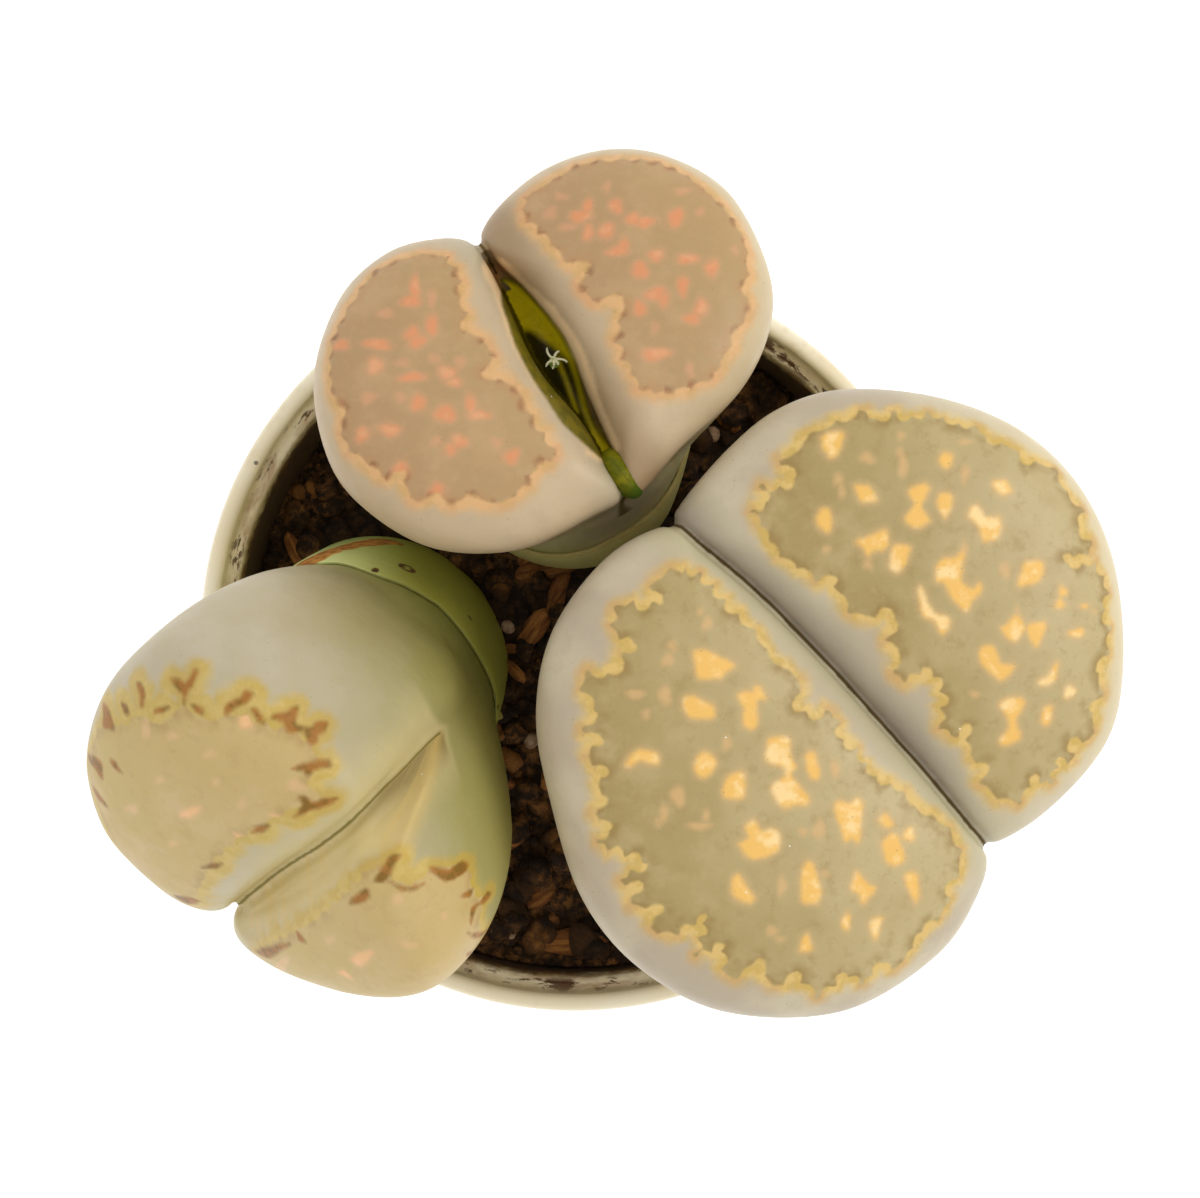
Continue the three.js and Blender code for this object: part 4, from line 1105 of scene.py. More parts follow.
LEFT_TONES = LEAF_TONES | palette(
    margin=(184, 171, 138), margin_warm=(190, 178, 152), mottle=(178, 168, 126), cleft=(200, 184, 130),
    # east and side east: the east side's own green, darkened by painted shade between the plants
    east=(157, 150, 76), east_from=-21.0, east_to=-7.0,
    side=(212, 204, 128), side_streak=(196, 190, 108), side_east=(118, 122, 46), foot=(150, 152, 60),
    side_low=6.0, side_high=20.0,
    shaded=(146, 126, 72), shade_from=2.6, shade_to=0.3, shade_none=-21.0, shade_full=-15.5,
    crease=(110, 96, 0), crease_share=0.8, crease_width=0.15, slope_share=0.9,
    line=(208, 178, 88), line_deep=(198, 166, 62), line_tan=(192, 160, 66),
    line_width=0.66, line_share=0.8, halo=0.46,
    window=(193, 168, 103), window_east=(200, 174, 115), window_cloud=(203, 177, 124),
    window_rim=(178, 148, 92), faint=(222, 182, 134), pore=(150, 138, 84),
    island=(234, 184, 128), island_pale=(238, 192, 140), island_edge=0.25, island_share=0.9,
    mark=(162, 106, 34), mark_deep=(130, 92, 10), mark_share=0.96,
)
GREEN_SHEATH = palette(
    # The east tone is a darker green, partly painted shade between the plants.
    foot=(206, 214, 140), top=(224, 226, 160), vein=(204, 212, 140), east=(158, 156, 46),
    dry=(206, 142, 64), dry_dark=(144, 86, 34), dry_width=0.9, edge=(104, 100, 44), mark=(88, 54, 14),
    glow=(0.045, 0.056, 0.014, 1.0),
)
PALE_SHEATH = palette(
    foot=(180, 180, 84), top=(220, 208, 146), vein=(168, 158, 88), east=(200, 190, 120),
    dry=(214, 176, 108), dry_dark=(170, 120, 60), dry_width=0.7, edge=(170, 152, 92), mark=(96, 74, 36),
    glow=(0.016, 0.016, 0.004, 1.0),
)


# ---------------------------------------------------------------- leaf pairs

VOXEL = 0.2

# What a signed distance says where nothing of its kind is near, in millimetres.
FAR_OFF = -9.0

# The circle round a plant on which its streaks are laid out, so that they run straight up and down.
SPOKE = 8.0

# How deep and wide the closed fissure is pressed in, and how near to it the skin is evened.
CREASE = {"depth": 0.35, "width": 0.5, "evened": 0.45}

# The left plant's sloping window: how deep its slope is sunk and how far its ridge stands up.
LEFT_SLOPE = {"hollow": 0.7, "hollow_width": 2.2, "ridge": 0.5, "ridge_width": 2.4}

# How many millimetres across a leaf the light takes from its dull side to its bright side.
LIT_ACROSS = 26.0

# Over how many millimetres, or pixels where two leaves are grown together, each of these comes in.
COMES_IN = {"snug": 0.8, "off_body": 0.8, "fused": 16, "low": 3, "far": 0.6}


def spot_field(lobe, unrolled, spots):
    """Signed distance to ragged spots of (x, y, width, height) in pixels, above zero inside."""
    field = np.full(len(unrolled), FAR_OFF)
    for x, y, width, height in spots:
        middle = lobe.seen((x, y))
        sides = lobe.seen((x + width / 2, y)), lobe.seen((x, y + height / 2))
        axes = np.column_stack(sides) - middle[:, None]
        size = math.sqrt(abs(np.linalg.det(axes)))
        share = (unrolled - middle) @ np.linalg.inv(axes).T
        angle = np.arctan2(share[:, 1], share[:, 0])
        ragged = 1 + 0.12 * np.sin(2 * angle + x) + 0.12 * np.sin(3 * angle + y)
        field = np.maximum(field, (ragged - np.linalg.norm(share, axis=1)) * size)
    return field


def signed_distance(places, line):
    """Distance to a closed line, above zero inside, and how far along the line that is."""
    gap, along = distance_to_line(places, line, closed=True)
    return np.where(inside_line(places, line), gap, -gap), along


def window_field(lobe, unrolled, window):
    """Signed distance to the window's edge, in millimetres, above zero inside; how far along the edge
    that is; and how far the margin reaches in there past the evened edge."""
    line = smooth_line([lobe.seen(p) for p in window["outline"]], 7 * len(window["outline"]), ease=0.45)
    gap, along = signed_distance(unrolled, line)
    depth, spacing = window["teeth"]
    phase = along / spacing + 0.6 * np.sin(along / spacing / 2.3)
    scallop = 0.6 - np.abs(np.sin(np.pi * phase))
    uneven = 1 + 0.5 * np.sin(along / spacing / 1.7 + 1.0)
    toothed = gap - 0.1 + depth * uneven * scallop * np.exp(-np.abs(gap) / 1.2)
    evened = sum(np.roll(line, shift, axis=0) for shift in range(-9, 10))[::4] / 19
    return toothed, along, signed_distance(unrolled, evened)[0] - toothed


def close_to(places, line, reach):
    """Which places lie in the line's box, made larger all round by a reach."""
    return np.all((places > np.min(line, axis=0) - reach) & (places < np.max(line, axis=0) + reach), axis=1)


def dot_field(edge, along, spacing):
    """Small brown dots strung along the window's edge."""
    number = np.round(along / spacing)
    shift = 0.35 * spacing * np.sin(number * 12.9)
    size = 0.1 + 0.13 * np.sin(number * 7.7)
    return size - np.hypot((along - number * spacing - shift) * 0.7, edge - 0.1)


def outline_field(lobe, unrolled, outlines):
    """Signed distance to closed outlines drawn in pixels, in millimetres, above zero inside."""
    field = np.full(len(unrolled), FAR_OFF)
    for outline in outlines:
        line = smooth_line([lobe.seen(p) for p in outline], 5 * len(outline), ease=0.7)
        near = close_to(unrolled, line, 2.0)
        field[near] = np.maximum(field[near], signed_distance(unrolled[near], line)[0])
    return field


def pixel_field(pixels, outline):
    """Signed distance to a closed outline as the photograph shows it, in millimetres, above zero inside."""
    line = smooth_line(outline, 4 * len(outline), ease=0.8)
    return signed_distance(pixels, line)[0] / PIXELS_PER_MM_AT_RIM


def pit_fields(pit, which, facing, upright, pixels):
    """Where an open fissure's lip and lining lie, above zero inside, and how dark the painted shade is in its
    hole and on the near leaf's wall there.
    """
    lip, lining, hole = (np.full(len(which), FAR_OFF) for _ in range(3))
    near = close_to(pixels, pit["lip"], 20) & (upright[:, 2] > pit["floor"])
    steep = -facing[near, 2]
    rimmed, lined, hole[near] = (pixel_field(pixels[near], pit[key]) for key in ("lip", "lining", "hole"))
    lined += 0.2
    lip[near] = np.minimum(rimmed, np.where(which[near] == 1, 2 * (0.6 + steep), 9.0))
    lining[near] = np.minimum(lined, np.where(which[near] == 1, np.maximum(2 * steep, lined - 0.45), 9.0))
    strand = np.exp(-(distance_to_line(pixels, np.array(pit["strand"], float))[0] / 2.4) ** 2)
    dark = np.clip(hole / 0.5 + 0.5, 0, 1) * (1 - 0.75 * strand)
    return lip, lining, np.where(which == 1, 0.6, dark)


def joined_lobes(name, lobes):
    """The lobes as one object with one skin."""
    starts = np.cumsum([0] + [len(lobe.points) for lobe in lobes])
    faces = [tuple(start + i for i in face) for lobe, start in zip(lobes, starts) for face in lobe.quads]
    pair = new_object(name, np.vstack([lobe.points for lobe in lobes]), faces)
    with_modifiers(pair, ("REMESH", {"mode": "VOXEL", "voxel_size": VOXEL * MM, "use_smooth_shade": True}),
                   ("SMOOTH", {"factor": 0.5, "iterations": 8}))
    return pair


def window_fields(lobes, windows, which, rough, unrolled):
    """What each point knows of its leaf's window: signed distances, and how brightly it is lit."""
    keys = ("window", "lobed", "island", "faint", "mark", "slope", "fold", "lip", "lining")
    fields = {key: np.full(len(which), FAR_OFF) for key in keys}
    fields["lit"] = np.zeros(len(which))
    for number, (lobe, window) in enumerate(zip(lobes[1:], windows), start=1):
        own = which == number
        flat = unrolled[own]
        fields["window"][own], along, fields["lobed"][own] = window_field(lobe, flat, window)
        fields["island"][own] = np.maximum(outline_field(lobe, flat, window["islands"]),
                                           spot_field(lobe, flat, window["spots"]))
        fields["faint"][own] = spot_field(lobe, flat, window["faint"])
        fields["mark"][own] = outline_field(lobe, flat, window.get("marks", ()))
        if "dots" in window:
            dots = dot_field(fields["window"][own], along, window["dots"])
            fields["mark"][own] = np.maximum(fields["mark"][own], dots)
        if "slope" in window:
            fields["slope"][own] = outline_field(lobe, flat, (window["slope"],))
            ridge = np.array([lobe.seen(p) for p in window["ridge"]])
            fields["fold"][own] = -distance_to_line(flat, ridge)[0]
        fields["lit"][own] = np.clip(0.5 + eastward(rough[own] - np.array(lobe.crown)) / LIT_ACROSS, 0, 1)
    return fields


def soften(pair, which, gaps, other, apart, low):
    """Blends the leaves into the body, and low down into each other, and evens the crease."""
    body_gap = np.where(which == 0, np.minimum(gaps[1], gaps[2]), gaps[0])
    blend = np.maximum(np.clip(1.25 - body_gap / 2.0, 0, 1), np.clip(1.25 - other / 1.8, 0, 1) * low)
    for title, weight in (("blended", blend), ("seam", np.exp(-(apart / CREASE["evened"]) ** 2))):
        group = pair.vertex_groups.new(name=title)
        for tenths in range(1, 11):
            group.add(np.flatnonzero(np.round(weight * 10) == tenths).tolist(), tenths / 10, "REPLACE")
    with_modifiers(pair, ("SMOOTH", {"factor": 0.5, "iterations": 3}),
                   ("SMOOTH", {"factor": 0.5, "iterations": 140, "vertex_group": "blended"}),
                   ("SMOOTH", {"factor": 0.5, "iterations": 12, "vertex_group": "seam"}))
    pair.vertex_groups.clear()


def leaf_pair(name, plant, windows, material):
    """A plant's body and two leaves as one skin, which carries the places of its windows."""
    lobes = [Lobe(plant)] + [Lobe(plant, leaf) for leaf in plant["leaves"]]
    pair = joined_lobes(name, lobes)
    rough = points_of(pair)
    gaps, nearest, facing, upright, unrolled = nearest_on_lobes(lobes, rough)
    which = np.argmin(gaps, axis=0)
    other = np.where(which == 1, gaps[2], np.where(which == 2, gaps[1], np.maximum(gaps[1], gaps[2])))
    fields = window_fields(lobes, windows, which, rough, unrolled)

    fused = np.zeros(len(which))
    if plant["fused"]:
        beyond = (photo_pixels(rough) - plant["fused"]["from"]) @ np.array(plant["fused"]["towards"])
        fused = np.clip(beyond / COMES_IN["fused"] + 0.5, 0, 1)
    closest = gaps.min(axis=0)
    apart = other - closest
    snug = np.clip((np.sort(gaps, axis=0)[1] - closest) / COMES_IN["snug"], 0, 1)
    snug = snug * snug * (3 - 2 * snug)
    sunk = CREASE["depth"] * np.exp(-(apart / CREASE["width"]) ** 2) * (1 - fused)
    sunk += LEFT_SLOPE["hollow"] * np.clip(fields["slope"] / LEFT_SLOPE["hollow_width"], 0, 1) ** 0.7
    sunk -= LEFT_SLOPE["ridge"] * np.clip(1 + fields["fold"] / LEFT_SLOPE["ridge_width"], 0, 1) ** 2
    move_points(pair, rough + (nearest - rough) * snug[:, None] - normals_of(pair) * sunk[:, None])

    rise = upright[:, 2] - plant["foot"]["z"]
    low = np.maximum(np.clip((plant["furrow"] - rise) / COMES_IN["low"], 0, 1), fused)
    soften(pair, which, gaps, other, apart, low)
    off_body = np.clip((gaps[0] - closest) / COMES_IN["off_body"], 0, 1)
    across = np.clip(gaps[1] - gaps[2], -3, 3)
    far = np.clip(0.5 + across / COMES_IN["far"], 0, 1) * off_body * (1 - fused)
    ends = np.maximum(fused, 1 - off_body) if plant["fused"] else low
    points = points_of(pair)
    dark = np.zeros(len(which))
    if plant["pit"]:
        pixels = photo_pixels(points)
        fields["lip"], fields["lining"], dark = pit_fields(plant["pit"], which, facing, upright, pixels)
    spokes = unit(upright[:, :2] - np.array([plant["widest"]["x"], plant["widest"]["y"]])) * SPOKE
    paint_points(pair, cleft=other + 6 * fused, across=across, ends=ends, far=far, dark=dark, rise=rise,
                 glowing=(which != 1).astype(float), east=eastward(points),
                 spoke_x=spokes[:, 0], spoke_y=spokes[:, 1], **fields)
    pair.data.materials.append(material)
    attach(pair, "root")
    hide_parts(name)
    return lobes


# ---------------------------------------------------------------- old sheaths


def outer_radius(lobes, plant, angles, heights):
    """How far the upright plant reaches from its foot's middle at each angle and height."""
    trees = [BVHTree.FromPolygons(lobe.upright.tolist(), lobe.triangles) for lobe in lobes]
    foot = plant["foot"]
    reach = np.zeros((len(heights), len(angles)))
    far = 60.0
    for i, height in enumerate(heights):
        for j, angle in enumerate(angles):
            way = Vector((math.cos(angle), math.sin(angle), 0))
            start = Vector((foot["x"], foot["y"], foot["z"] + height)) + way * far
            hits = [tree.ray_cast(start, -way, far) for tree in trees]
            reach[i, j] = max([far - hit[3] for hit in hits if hit[0] is not None], default=1.0)
    return reach


SHEATH = {
    "around": 220, "rows": 40, "levels": 26, "bottom": -2.2, "gap": 0.3, "thickness": 0.45,
    "wave": 0.5, "tear": 0.14, "tear_size": 0.9, "drop": 0.2,
}


def sheath_skins(plant, lobes, edge):
    """A sheath's outer and inner skin as one closed loop of rings on the upright plant, and how far
    below its torn edge each point is."""
    angles = full_turn(SHEATH["around"])
    share = (1 + np.cos(angles - math.radians(edge["towards"]))) / 2
    circle = ring(angles, SPOKE, 0.0)
    top = (edge["low"] + (edge["high"] - edge["low"]) * share + SHEATH["wave"] * np.sin(5 * angles)
           + SHEATH["tear"] * grain(circle, SHEATH["tear_size"], seed=3) - SHEATH["drop"])
    levels = np.linspace(SHEATH["bottom"], edge["high"] + 1.0, SHEATH["levels"])
    reach = outer_radius(lobes, plant, angles, levels)
    for _ in range(2):
        reach = (np.roll(reach, 1, axis=1) + 2 * reach + np.roll(reach, -1, axis=1)) / 4
    foot = plant["foot"]
    outer, inner, below = [], [], []
    for i in range(SHEATH["rows"] + 1):
        height = SHEATH["bottom"] + (top - SHEATH["bottom"]) * (i / SHEATH["rows"])
        radius = np.array([np.interp(h, levels, reach[:, j]) for j, h in enumerate(height)])
        depth = top - height
        radius = radius + SHEATH["gap"] * (1 - 0.95 * np.exp(-depth / 2.0))
        thin = SHEATH["thickness"] * (1 - 0.7 * np.exp(-depth / 0.7))
        for skin, reached in ((outer, radius + thin), (inner, radius)):
            skin.append(ring(angles, reached, foot["z"] + height, (foot["x"], foot["y"])))
        below.append(depth)
    return outer + inner[::-1], np.concatenate(below + below[::-1])


def old_sheath(name, plant, lobes, edge, material, dryness, marks=(), dried=()):
    """A thin torn skin that wraps a plant's foot up to a wavy edge. Marks are pixels with their outer
    and inner radius, and dried is a line of pixels with its half-width."""
    rings, below = sheath_skins(plant, lobes, edge)
    upright = np.vstack(rings)
    points = lean_over(plant["lean"], upright)
    around = SHEATH["around"]
    faces = []
    for i in range(len(rings)):
        low, high = i * around, (i + 1) % len(rings) * around
        for k in range(around):
            j = (k + 1) % around
            faces.append((low + k, low + j, high + j, high + k))
    sheath = new_object(name, points, faces)
    tree = BVHTree.FromPolygons(points.tolist(), faces)
    mark = np.full(len(points), FAR_OFF)
    for pixel, radius, hole in marks:
        place = tree.ray_cast(Vector(CAMERA), photo_ray(pixel))[0]
        if place is not None:
            distance = np.linalg.norm(points - np.array(place), axis=1)
            mark = np.maximum(mark, np.minimum(radius - distance, distance - hole if hole else 9.0))
    band = np.full(len(points), FAR_OFF)
    if dried:
        places = [tree.ray_cast(Vector(CAMERA), photo_ray(pixel))[0] for pixel in dried[:-1]]
        aside, _ = distance_to_line(points, np.array([place for place in places if place is not None]))
        band = dried[-1] - aside
    spokes = np.tile(ring(full_turn(around), SPOKE, 0.0), (len(rings), 1))
    paint_points(sheath, below_edge=below, rise=upright[:, 2] - plant["foot"]["z"], spoke_x=spokes[:, 0],
                 spoke_y=spokes[:, 1], dryness=np.full(len(points), dryness), mark=mark, band=band,
                 east=eastward(points))
    sheath.data.materials.append(material)
    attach(sheath, "root")
    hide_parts(name)


# ---------------------------------------------------------------- pot


# The rounding of the pot's lip, as how far in from the rim's edge and down from its top, and the ledge
# inside it, as how far in from the rim's edge and up from the ledge.
LIP = (
    (0.05, 1.2), (0.0, 0.7), (0.08, 0.36), (0.28, 0.13), (0.65, 0.0), (0.95, 0.03), (1.2, 0.18), (1.3, 0.42),
)
LEDGE = ((1.38, 0.2), (1.52, 0.02), (2.0, 0.0))
GROOVE_IN = 1.85


def pot_profile(ledge):
    """The pot's section from the middle of its underside, up the outside and down the inside."""
    foot, wall, inner = POT["foot_radius"], POT["wall_top_radius"], POT["inner_foot_radius"]
    collar, bottom, floor = POT["collar_radius"], POT["collar_bottom"], POT["floor"]
    slant, recess = POT["recess_slant"], POT["recess_depth"]
    corners = [
        (0, 0), (POT["recess_inner"], 0), (POT["recess_inner"] + slant, recess),
        (POT["recess_outer"] - slant, recess), (POT["recess_outer"], 0), (foot, 0), (foot + 0.45, 0.25),
        (POT["wall_foot_radius"], 0.9), (wall - 0.1, bottom - 1.0), (wall, bottom),
        (collar - 0.3, bottom), (collar - 0.08, bottom + 0.12), (collar, bottom + 0.4),
        *((POT["rim_radius"] - inward, POT["height"] - down) for inward, down in LIP),
        *((POT["rim_radius"] - inward, ledge + up) for inward, up in LEDGE),
        (POT["inner_top_radius"] + 0.1, ledge - 0.04), (POT["inner_top_radius"], ledge - 0.3),
        (inner, floor + 0.6), (inner - 0.6, floor), (0, floor),
    ]
    profile = [corners[0]]
    for start, end in zip(np.array(corners), np.array(corners)[1:]):
        pieces = max(1, int(math.dist(start, end) / 2.0))
        profile += [tuple(start + (end - start) * k / pieces) for k in range(1, pieces + 1)]
    return profile


def pot():
    """The pot turned from its profile, with its drain holes cut."""
    ledge = POT["height"] - POT["ledge_depth"]
    body = new_object("pot_body", *lathe(pot_profile(ledge), 240))
    plug_points, plug_faces = lathe([(0, -2), (POT["hole_radius"], -2), (POT["hole_radius"], 5), (0, 5)], 40)
    for place in ring(full_turn(POT["holes"]), POT["hole_circle"], 0.0):
        plug = new_object("drain_hole", plug_points + place, plug_faces, smooth=False)
        with_modifiers(body, ("BOOLEAN", {"operation": "DIFFERENCE", "object": plug, "solver": "EXACT"}))
        bpy.data.objects.remove(plug)
    points = points_of(body)
    height = points[:, 2]
    radius = np.hypot(points[:, 0], points[:, 1])
    wall = np.interp(height, (POT["floor"], ledge), (POT["inner_foot_radius"], POT["inner_top_radius"]))
    inside = (radius < wall + 0.35) & (height > POT["floor"] - 0.1)
    aside = np.abs(radius - (POT["rim_radius"] - GROOVE_IN))
    groove = np.clip(1.4 - aside / 0.5, 0, 1) * (height < ledge + 0.3)
    paint_points(body, inside=inside.astype(float), depth=np.clip(ledge - height, 0, 50), groove=groove,
                 low=np.clip((POT["height"] - 1.5 - height) / 6, 0, 1),
                 band_x=points[:, 0] * 0.35, band_y=points[:, 1] * 0.35, band_r=radius * 1.2)
    body.data.materials.append(pot_plastic())
    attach(body, "root")
    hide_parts("pot")


# ---------------------------------------------------------------- potting mix


# Each kind of grain by its number for the material, its sizes in millimetres (many small ones where
# the power is above one), how flat, how long and how rough it is, and how far it tilts in radians.
CRUMB = {
    "kind": 0, "size": (0.2, 1.2), "power": 2.2, "flat": 0.75,
    "long": (1, 1.4), "rough": 0.4, "tilt": 1.0,
}
BARK = {
    "kind": 1, "size": (0.35, 1.1), "power": 1.0, "flat": 0.3,
    "long": (1.6, 3.2), "rough": 0.25, "tilt": 0.6,
}
GRIT = {
    "kind": 2, "size": (0.3, 0.75), "power": 1.0, "flat": 0.75,
    "long": (1, 1.3), "rough": 0.16, "tilt": 1.0,
}

# What is strewn: how many in a quick build and in a full one, how far each stands out of the ground as
# a share of its size, and how near the pot's wall it stays.
STREWN = (
    (CRUMB, 260, 1100, 0.25, 0.0), (BARK, 40, 120, 0.3, 0.0), (GRIT, 20, 50, 0.3, 0.0),
    (CRUMB, 60, 240, 0.35, 0.86), (GRIT, 10, 30, 0.35, 0.88),
)
SOIL_EDGE = POT["inner_top_radius"] - 0.55
SOIL_AROUND, SOIL_RINGS = 360, 110
SOIL_FOOT = 2.5


def soil_height(x, y):
    """The ground's height, as in the CAD but with finer crumbs."""
    spots = np.column_stack([x, y, np.full(len(x), 3.7)])
    crumbs = sum(tall * grain(spots, size, seed)
                 for tall, size, seed in ((0.5, 2.6, 0), (0.4, 9.0, 2), (0.28, 1.1, 5), (0.16, 0.5, 7)))
    bank = 0.8 * (1 - y / 25) * np.exp((np.hypot(x, y) - POT["inner_top_radius"]) / 3.0)
    return SOIL["level"] + SOIL["slope_x"] * x + SOIL["slope_y"] * y + crumbs + bank


def lump(rng, size, flat, long, rough):
    """Points and faces of an irregular grain."""
    form = bmesh.new()
    bmesh.ops.create_icosphere(form, subdivisions=2, radius=1.0)
    points = np.array([v.co[:] for v in form.verts])
    faces = [[v.index for v in f.verts] for f in form.faces]
    form.free()
    spots = points + rng.uniform(-50, 50, 3)
    points *= 1 + rough * (grain(spots, 0.9) + 0.5 * grain(spots, 0.4))[:, None]
    return points * np.array([size * long, size, size * flat]), faces


def turned(points, rng, tilt):
    """Points turned at random about Z, and tilted by up to an angle in radians."""
    spin, lean, way = rng.uniform(0, 2 * np.pi), rng.uniform(0, tilt), rng.uniform(0, 2 * np.pi)
    turns = Matrix.Rotation(lean, 3, (math.cos(way), math.sin(way), 0)) @ Matrix.Rotation(spin, 3, "Z")
    return points @ np.array(turns).T


def ground():
    """The mix without its strewn grains, from the pot's floor up the wall to the crumbly surface."""
    angles = full_turn(SOIL_AROUND)
    foot = POT["inner_foot_radius"]
    rings = []
    for height in (SOIL_FOOT, 10.0, 20.0, 30.0, 38.0):
        radius = foot + (SOIL_EDGE - foot) * (height - SOIL_FOOT) / 40 - 0.4
        rings.append(ring(angles, radius, height))
    for radius in SOIL_EDGE * (np.arange(SOIL_RINGS, 0, -1) / SOIL_RINGS) ** 0.85:
        level = ring(angles, radius, 0.0)
        level[:, 2] = soil_height(level[:, 0], level[:, 1]) - 0.5 * np.exp(-(SOIL_EDGE - radius) / 0.6)
        rings.append(level)
    middle = soil_height(np.zeros(1), np.zeros(1))[0]
    return np.vstack([(0, 0, SOIL_FOOT), *rings, (0, 0, middle)]), ring_faces(len(rings), SOIL_AROUND)


def potting_soil():
    """Ground with crumbs, bark and grit strewn over it, as one piece."""
    rng = np.random.default_rng(41)
    points, faces = ground()
    parts, kinds, lucks, grains = [points], [np.zeros(len(points))], [np.zeros(len(points))], [points[:, :2]]
    total = len(points)
    for recipe, quick, full, sink, near in STREWN:
        for _ in range(full):
            low, high = recipe["size"]
            size = low + (high - low) * rng.uniform(0, 1) ** recipe["power"]
            long = rng.uniform(*recipe["long"])
            shape, shape_faces = lump(rng, size, recipe["flat"], long, recipe["rough"])
            radius = (SOIL_EDGE - size * 1.1) * math.sqrt(rng.uniform(near, 1))
            angle = rng.uniform(0, 2 * np.pi)
            x, y = radius * math.cos(angle), radius * math.sin(angle)
            along = shape[:, :2] + rng.uniform(0, 9, 2)
            height = soil_height(np.array([x]), np.array([y]))[0] + sink * size
            parts.append(turned(shape, rng, recipe["tilt"]) + np.array([x, y, height]))
            faces.extend([tuple(total + i for i in face) for face in shape_faces])
            kinds.append(np.full(len(shape), float(recipe["kind"])))
            lucks.append(np.full(len(shape), rng.uniform(0, 1)))
            grains.append(along * np.array([0.15, 1.0]))
            total += len(shape)
    soil = new_object("potting_soil", np.vstack(parts), faces)
    fibres = np.vstack(grains)
    paint_points(soil, kind=np.concatenate(kinds), luck=np.concatenate(lucks),
                 grain_x=fibres[:, 0], grain_y=fibres[:, 1])
    soil.data.materials.append(potting_mix())
    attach(soil, "root")
    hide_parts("soil")


# ---------------------------------------------------------------- young leaf and dried flower

YOUNG_LEAF = {
    "x": 3.3, "y": 11.5, "z": 66.4, "along": 2.05, "across": 1.25, "tall": 2.6, "turn": -52,
    "pointed": 0.16, "slit_width": 0.09, "slit_reach": 1.1, "slit_depth": 0.05,
}
DRIED_FLOWER = {
    "x": -1.5, "y": 19.7, "z": 63.2, "stalk": 5.8, "stalk_radius": 0.26, "ray": 0.95,
    "ray_wide": 0.15, "ray_thick": 0.08, "curl": 0.35, "droop": 0.25,
}
# The dried rays by their way in degrees, their length as a share of a ray's, and their lift.
RAYS = (
    (8, 1.05, 0.22), (76, 0.75, 0.3), (140, 1.0, 0.1), (205, 0.8, 0.25), (282, 0.7, 0.2), (330, 0.55, 0.4),
)


def young_leaf():
    """A small oval leaf, pointed at its tip, with a slit along its crown."""
    leaf = YOUNG_LEAF
    around, rows = 72, 48
    angles = full_turn(around)
    rings = []
    for i in range(1, rows):
        level = -math.cos(math.pi * i / rows)
        spread = math.sqrt(1 - level * level)
        x = leaf["along"] * spread * np.cos(angles)
        y = leaf["across"] * spread * np.sin(angles) * (1 - leaf["pointed"] * np.cos(angles))
        rings.append(np.column_stack([x, y, np.full(around, leaf["tall"] * level)]))
    points = np.vstack([(0, 0, -leaf["tall"]), *rings, (0, 0, leaf["tall"])])
    crown = np.clip(points[:, 2] / leaf["tall"], 0, 1)
    slit = np.exp(-(points[:, 1] / leaf["slit_width"]) ** 2) * crown
    slit *= np.abs(points[:, 0]) < leaf["slit_reach"]
    tip = np.clip((points[:, 0] / leaf["along"] - 0.25) / 0.6, 0, 1)
    flat = rotated(points[:, 0], points[:, 1], math.radians(leaf["turn"]))
    placed = np.column_stack([flat, points[:, 2] - leaf["slit_depth"] * slit])
    placed += (leaf["x"], leaf["y"], leaf["z"])
    thing = new_object("young_leaf_pair", placed, ring_faces(len(rings), around))
    paint_points(thing, tip=tip, slit=slit)
    thing.data.materials.append(young_skin())
    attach(thing, "root")
    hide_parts("young_leaf")


def tube(line, radii, first):
    """Points and faces of a closed tube along a line, with a wide and a thin radius at each of its
    points, for faces that count from a first point on."""
    around = 10
    points, faces = [], []
    for k, (spot, radius) in enumerate(zip(line, radii)):
        ahead = unit(line[min(k + 1, len(line) - 1)] - line[max(k - 1, 0)])
        side = unit(np.cross(ahead, (0.3, 0.9, 0.2)))
        other = np.cross(ahead, side)
        wide, thin = side * radius[0], other * radius[1]
        points += [spot + wide * math.cos(a) + thin * math.sin(a) for a in full_turn(around)]
        if k:
            low, high = first + (k - 1) * around, first + k * around
            for i in range(around):
                j = (i + 1) % around
                faces.append((low + i, low + j, high + j, high + i))
    last = first + (len(line) - 1) * around
    faces.append(tuple(range(first + around - 1, first - 1, -1)))
    faces.append(tuple(range(last, last + around)))
    return points, faces


def dried_flower():
    """A thin stalk with a dried star of narrow curled rays."""
    flower = DRIED_FLOWER
    top = np.array([flower["x"], flower["y"], flower["z"]])
    stalk, ray = np.arange(13) / 12, np.arange(9) / 8
    bends = np.column_stack([0.05 * np.sin(stalk * 8.4), 0.05 * np.cos(stalk * 10.8) - 0.05,
                             -flower["stalk"] * (1 - stalk)])
    tubes = [(top + bends, flower["stalk_radius"] * np.outer(1.5 - 0.6 * stalk, (1, 1)), 0.25 * stalk**3)]
    for way, length, lift in RAYS:
        bend = math.radians(way) + flower["curl"] * ray**2 * (1 if way % 2 else -1)
        out = flower["ray"] * length * ray
        up = lift * ray - flower["droop"] * ray**2 - 0.05
        line = np.column_stack([out * np.cos(bend), out * np.sin(bend), up])
        wide = flower["ray_wide"] * (1 - 0.75 * ray**2)
        radii = np.column_stack([wide, np.full(len(ray), flower["ray_thick"])])
        tubes.append((top + line, radii, np.minimum(1.0, 0.3 + 2.5 * ray)))
    points, faces, petal = [], [], []
    for line, radii, share in tubes:
        tube_points, tube_faces = tube(line, radii, len(points))
        petal += np.repeat(share, len(tube_points) // len(line)).tolist()
        points += tube_points
        faces += tube_faces
    thing = new_object("dried_star", np.array(points), faces)
    paint_points(thing, petal=petal)
    thing.data.materials.append(flower_paper())
    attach(thing, "root")
    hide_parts("dried_flower")


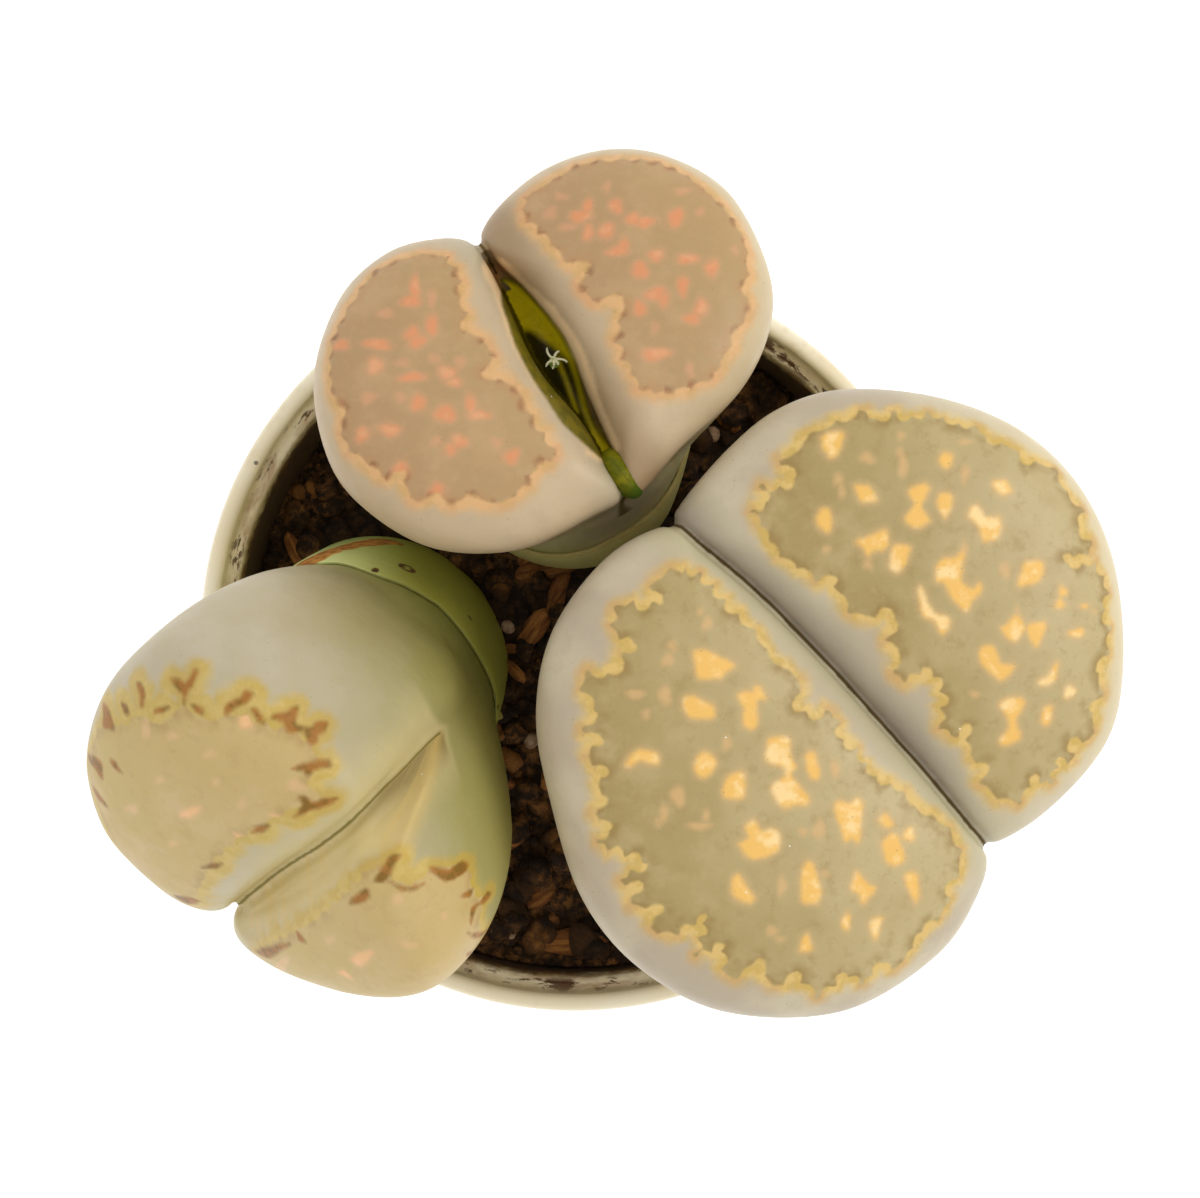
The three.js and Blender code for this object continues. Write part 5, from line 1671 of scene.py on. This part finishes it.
# ---------------------------------------------------------------- building the part

right_lobes = leaf_pair("leaf_pair_right", RIGHT_PLANT, (RIGHT_NEAR_WINDOW, RIGHT_FAR_WINDOW),
                        leaf_skin("leaf_skin_grey_green", RIGHT_TONES))
top_lobes = leaf_pair("leaf_pair_top", TOP_PLANT, (TOP_NEAR_WINDOW, TOP_FAR_WINDOW),
                      leaf_skin("leaf_skin_pink", TOP_TONES))
left_lobes = leaf_pair("leaf_pair_left", LEFT_PLANT, (LEFT_FAR_WINDOW, LEFT_NEAR_WINDOW),
                       leaf_skin("leaf_skin_green", LEFT_TONES))

green_skin = old_skin("old_leaf_skin_green", GREEN_SHEATH)
pale_skin = old_skin("old_leaf_skin_pale", PALE_SHEATH)
old_sheath("old_sheath_right", RIGHT_PLANT, right_lobes, {"towards": 200, "high": 5.0, "low": 3.6},
           pale_skin, 0.8)
old_sheath("old_sheath_top", TOP_PLANT, top_lobes, {"towards": -25, "high": 9.0, "low": 4.6}, pale_skin, 0.3)
old_sheath("old_sheath_left", LEFT_PLANT, left_lobes, {"towards": 290, "high": 11.2, "low": 5.4},
           green_skin, 0.0,
           marks=(((407, 568), 0.75, 0.3), ((375, 570), 0.35, 0), ((343, 576), 0.2, 0), ((470, 618), 0.3, 0),
                  ((498, 707), 0.25, 0)),
           dried=((303, 565), (318, 557), (338, 549), (360, 544), (386, 541), 1.25))
pot()
potting_soil()
young_leaf()
dried_flower()

# ---------------------------------------------------------------- floor, light and camera


FLOOR_REACH = 900.0
KEY_LIGHT = {
    "place": (420, 120, 520), "aim": (0, 0, 50), "size": 340, "power": 1.05, "colour": (1.0, 0.98, 0.95),
}
WORLD_STRENGTH = 0.86


def floor():
    corners = [(x * FLOOR_REACH, y * FLOOR_REACH, 0) for x, y in ((-1, -1), (1, -1), (1, 1), (-1, 1))]
    sheet = new_object("studio_floor", corners, [(0, 1, 2, 3)], smooth=False)
    paint = Paint("studio_floor", roughness=0.9, specular_ior_level=0.0,
                  emission_color=(1, 1, 1, 1), emission_strength=0.35)
    pale = paint.mix(tone(246, 246, 246), tone(250, 250, 250), paint.clouds(60.0))
    sheet.data.materials.append(paint.finish(base_color=pale))


def key_light():
    lamp = bpy.data.lights.new("key_light", "AREA")
    lamp.shape = "DISK"
    lamp.size = KEY_LIGHT["size"] * MM
    lamp.energy = KEY_LIGHT["power"]
    lamp.color = KEY_LIGHT["colour"]
    thing = bpy.data.objects.new("key_light", lamp)
    place, aim = Vector(KEY_LIGHT["place"]), Vector(KEY_LIGHT["aim"])
    thing.location = place * MM
    thing.rotation_euler = (aim - place).to_track_quat("-Z", "Y").to_euler()
    bpy.context.scene.collection.objects.link(thing)


def white_world():
    world = bpy.data.worlds.new("studio_world")
    bpy.context.scene.world = world
    world.use_nodes = True
    background = world.node_tree.nodes["Background"]
    background.inputs["Color"].default_value = (1.0, 1.0, 1.0, 1.0)
    background.inputs["Strength"].default_value = WORLD_STRENGTH


def camera():
    eye = bpy.data.cameras.new("photo_camera")
    eye.sensor_fit = "HORIZONTAL"
    eye.sensor_width = 36.0
    eye.lens = eye.sensor_width * PHOTO["distance"] / PHOTO["across_at_rim"]
    eye.clip_start, eye.clip_end = 0.02, 5.0
    thing = bpy.data.objects.new("photo_camera", eye)
    thing.location = Vector(CAMERA) * MM
    bpy.context.scene.collection.objects.link(thing)
    bpy.context.scene.camera = thing


floor()
white_world()
key_light()
camera()
bpy.context.scene.view_settings.view_transform = "Standard"
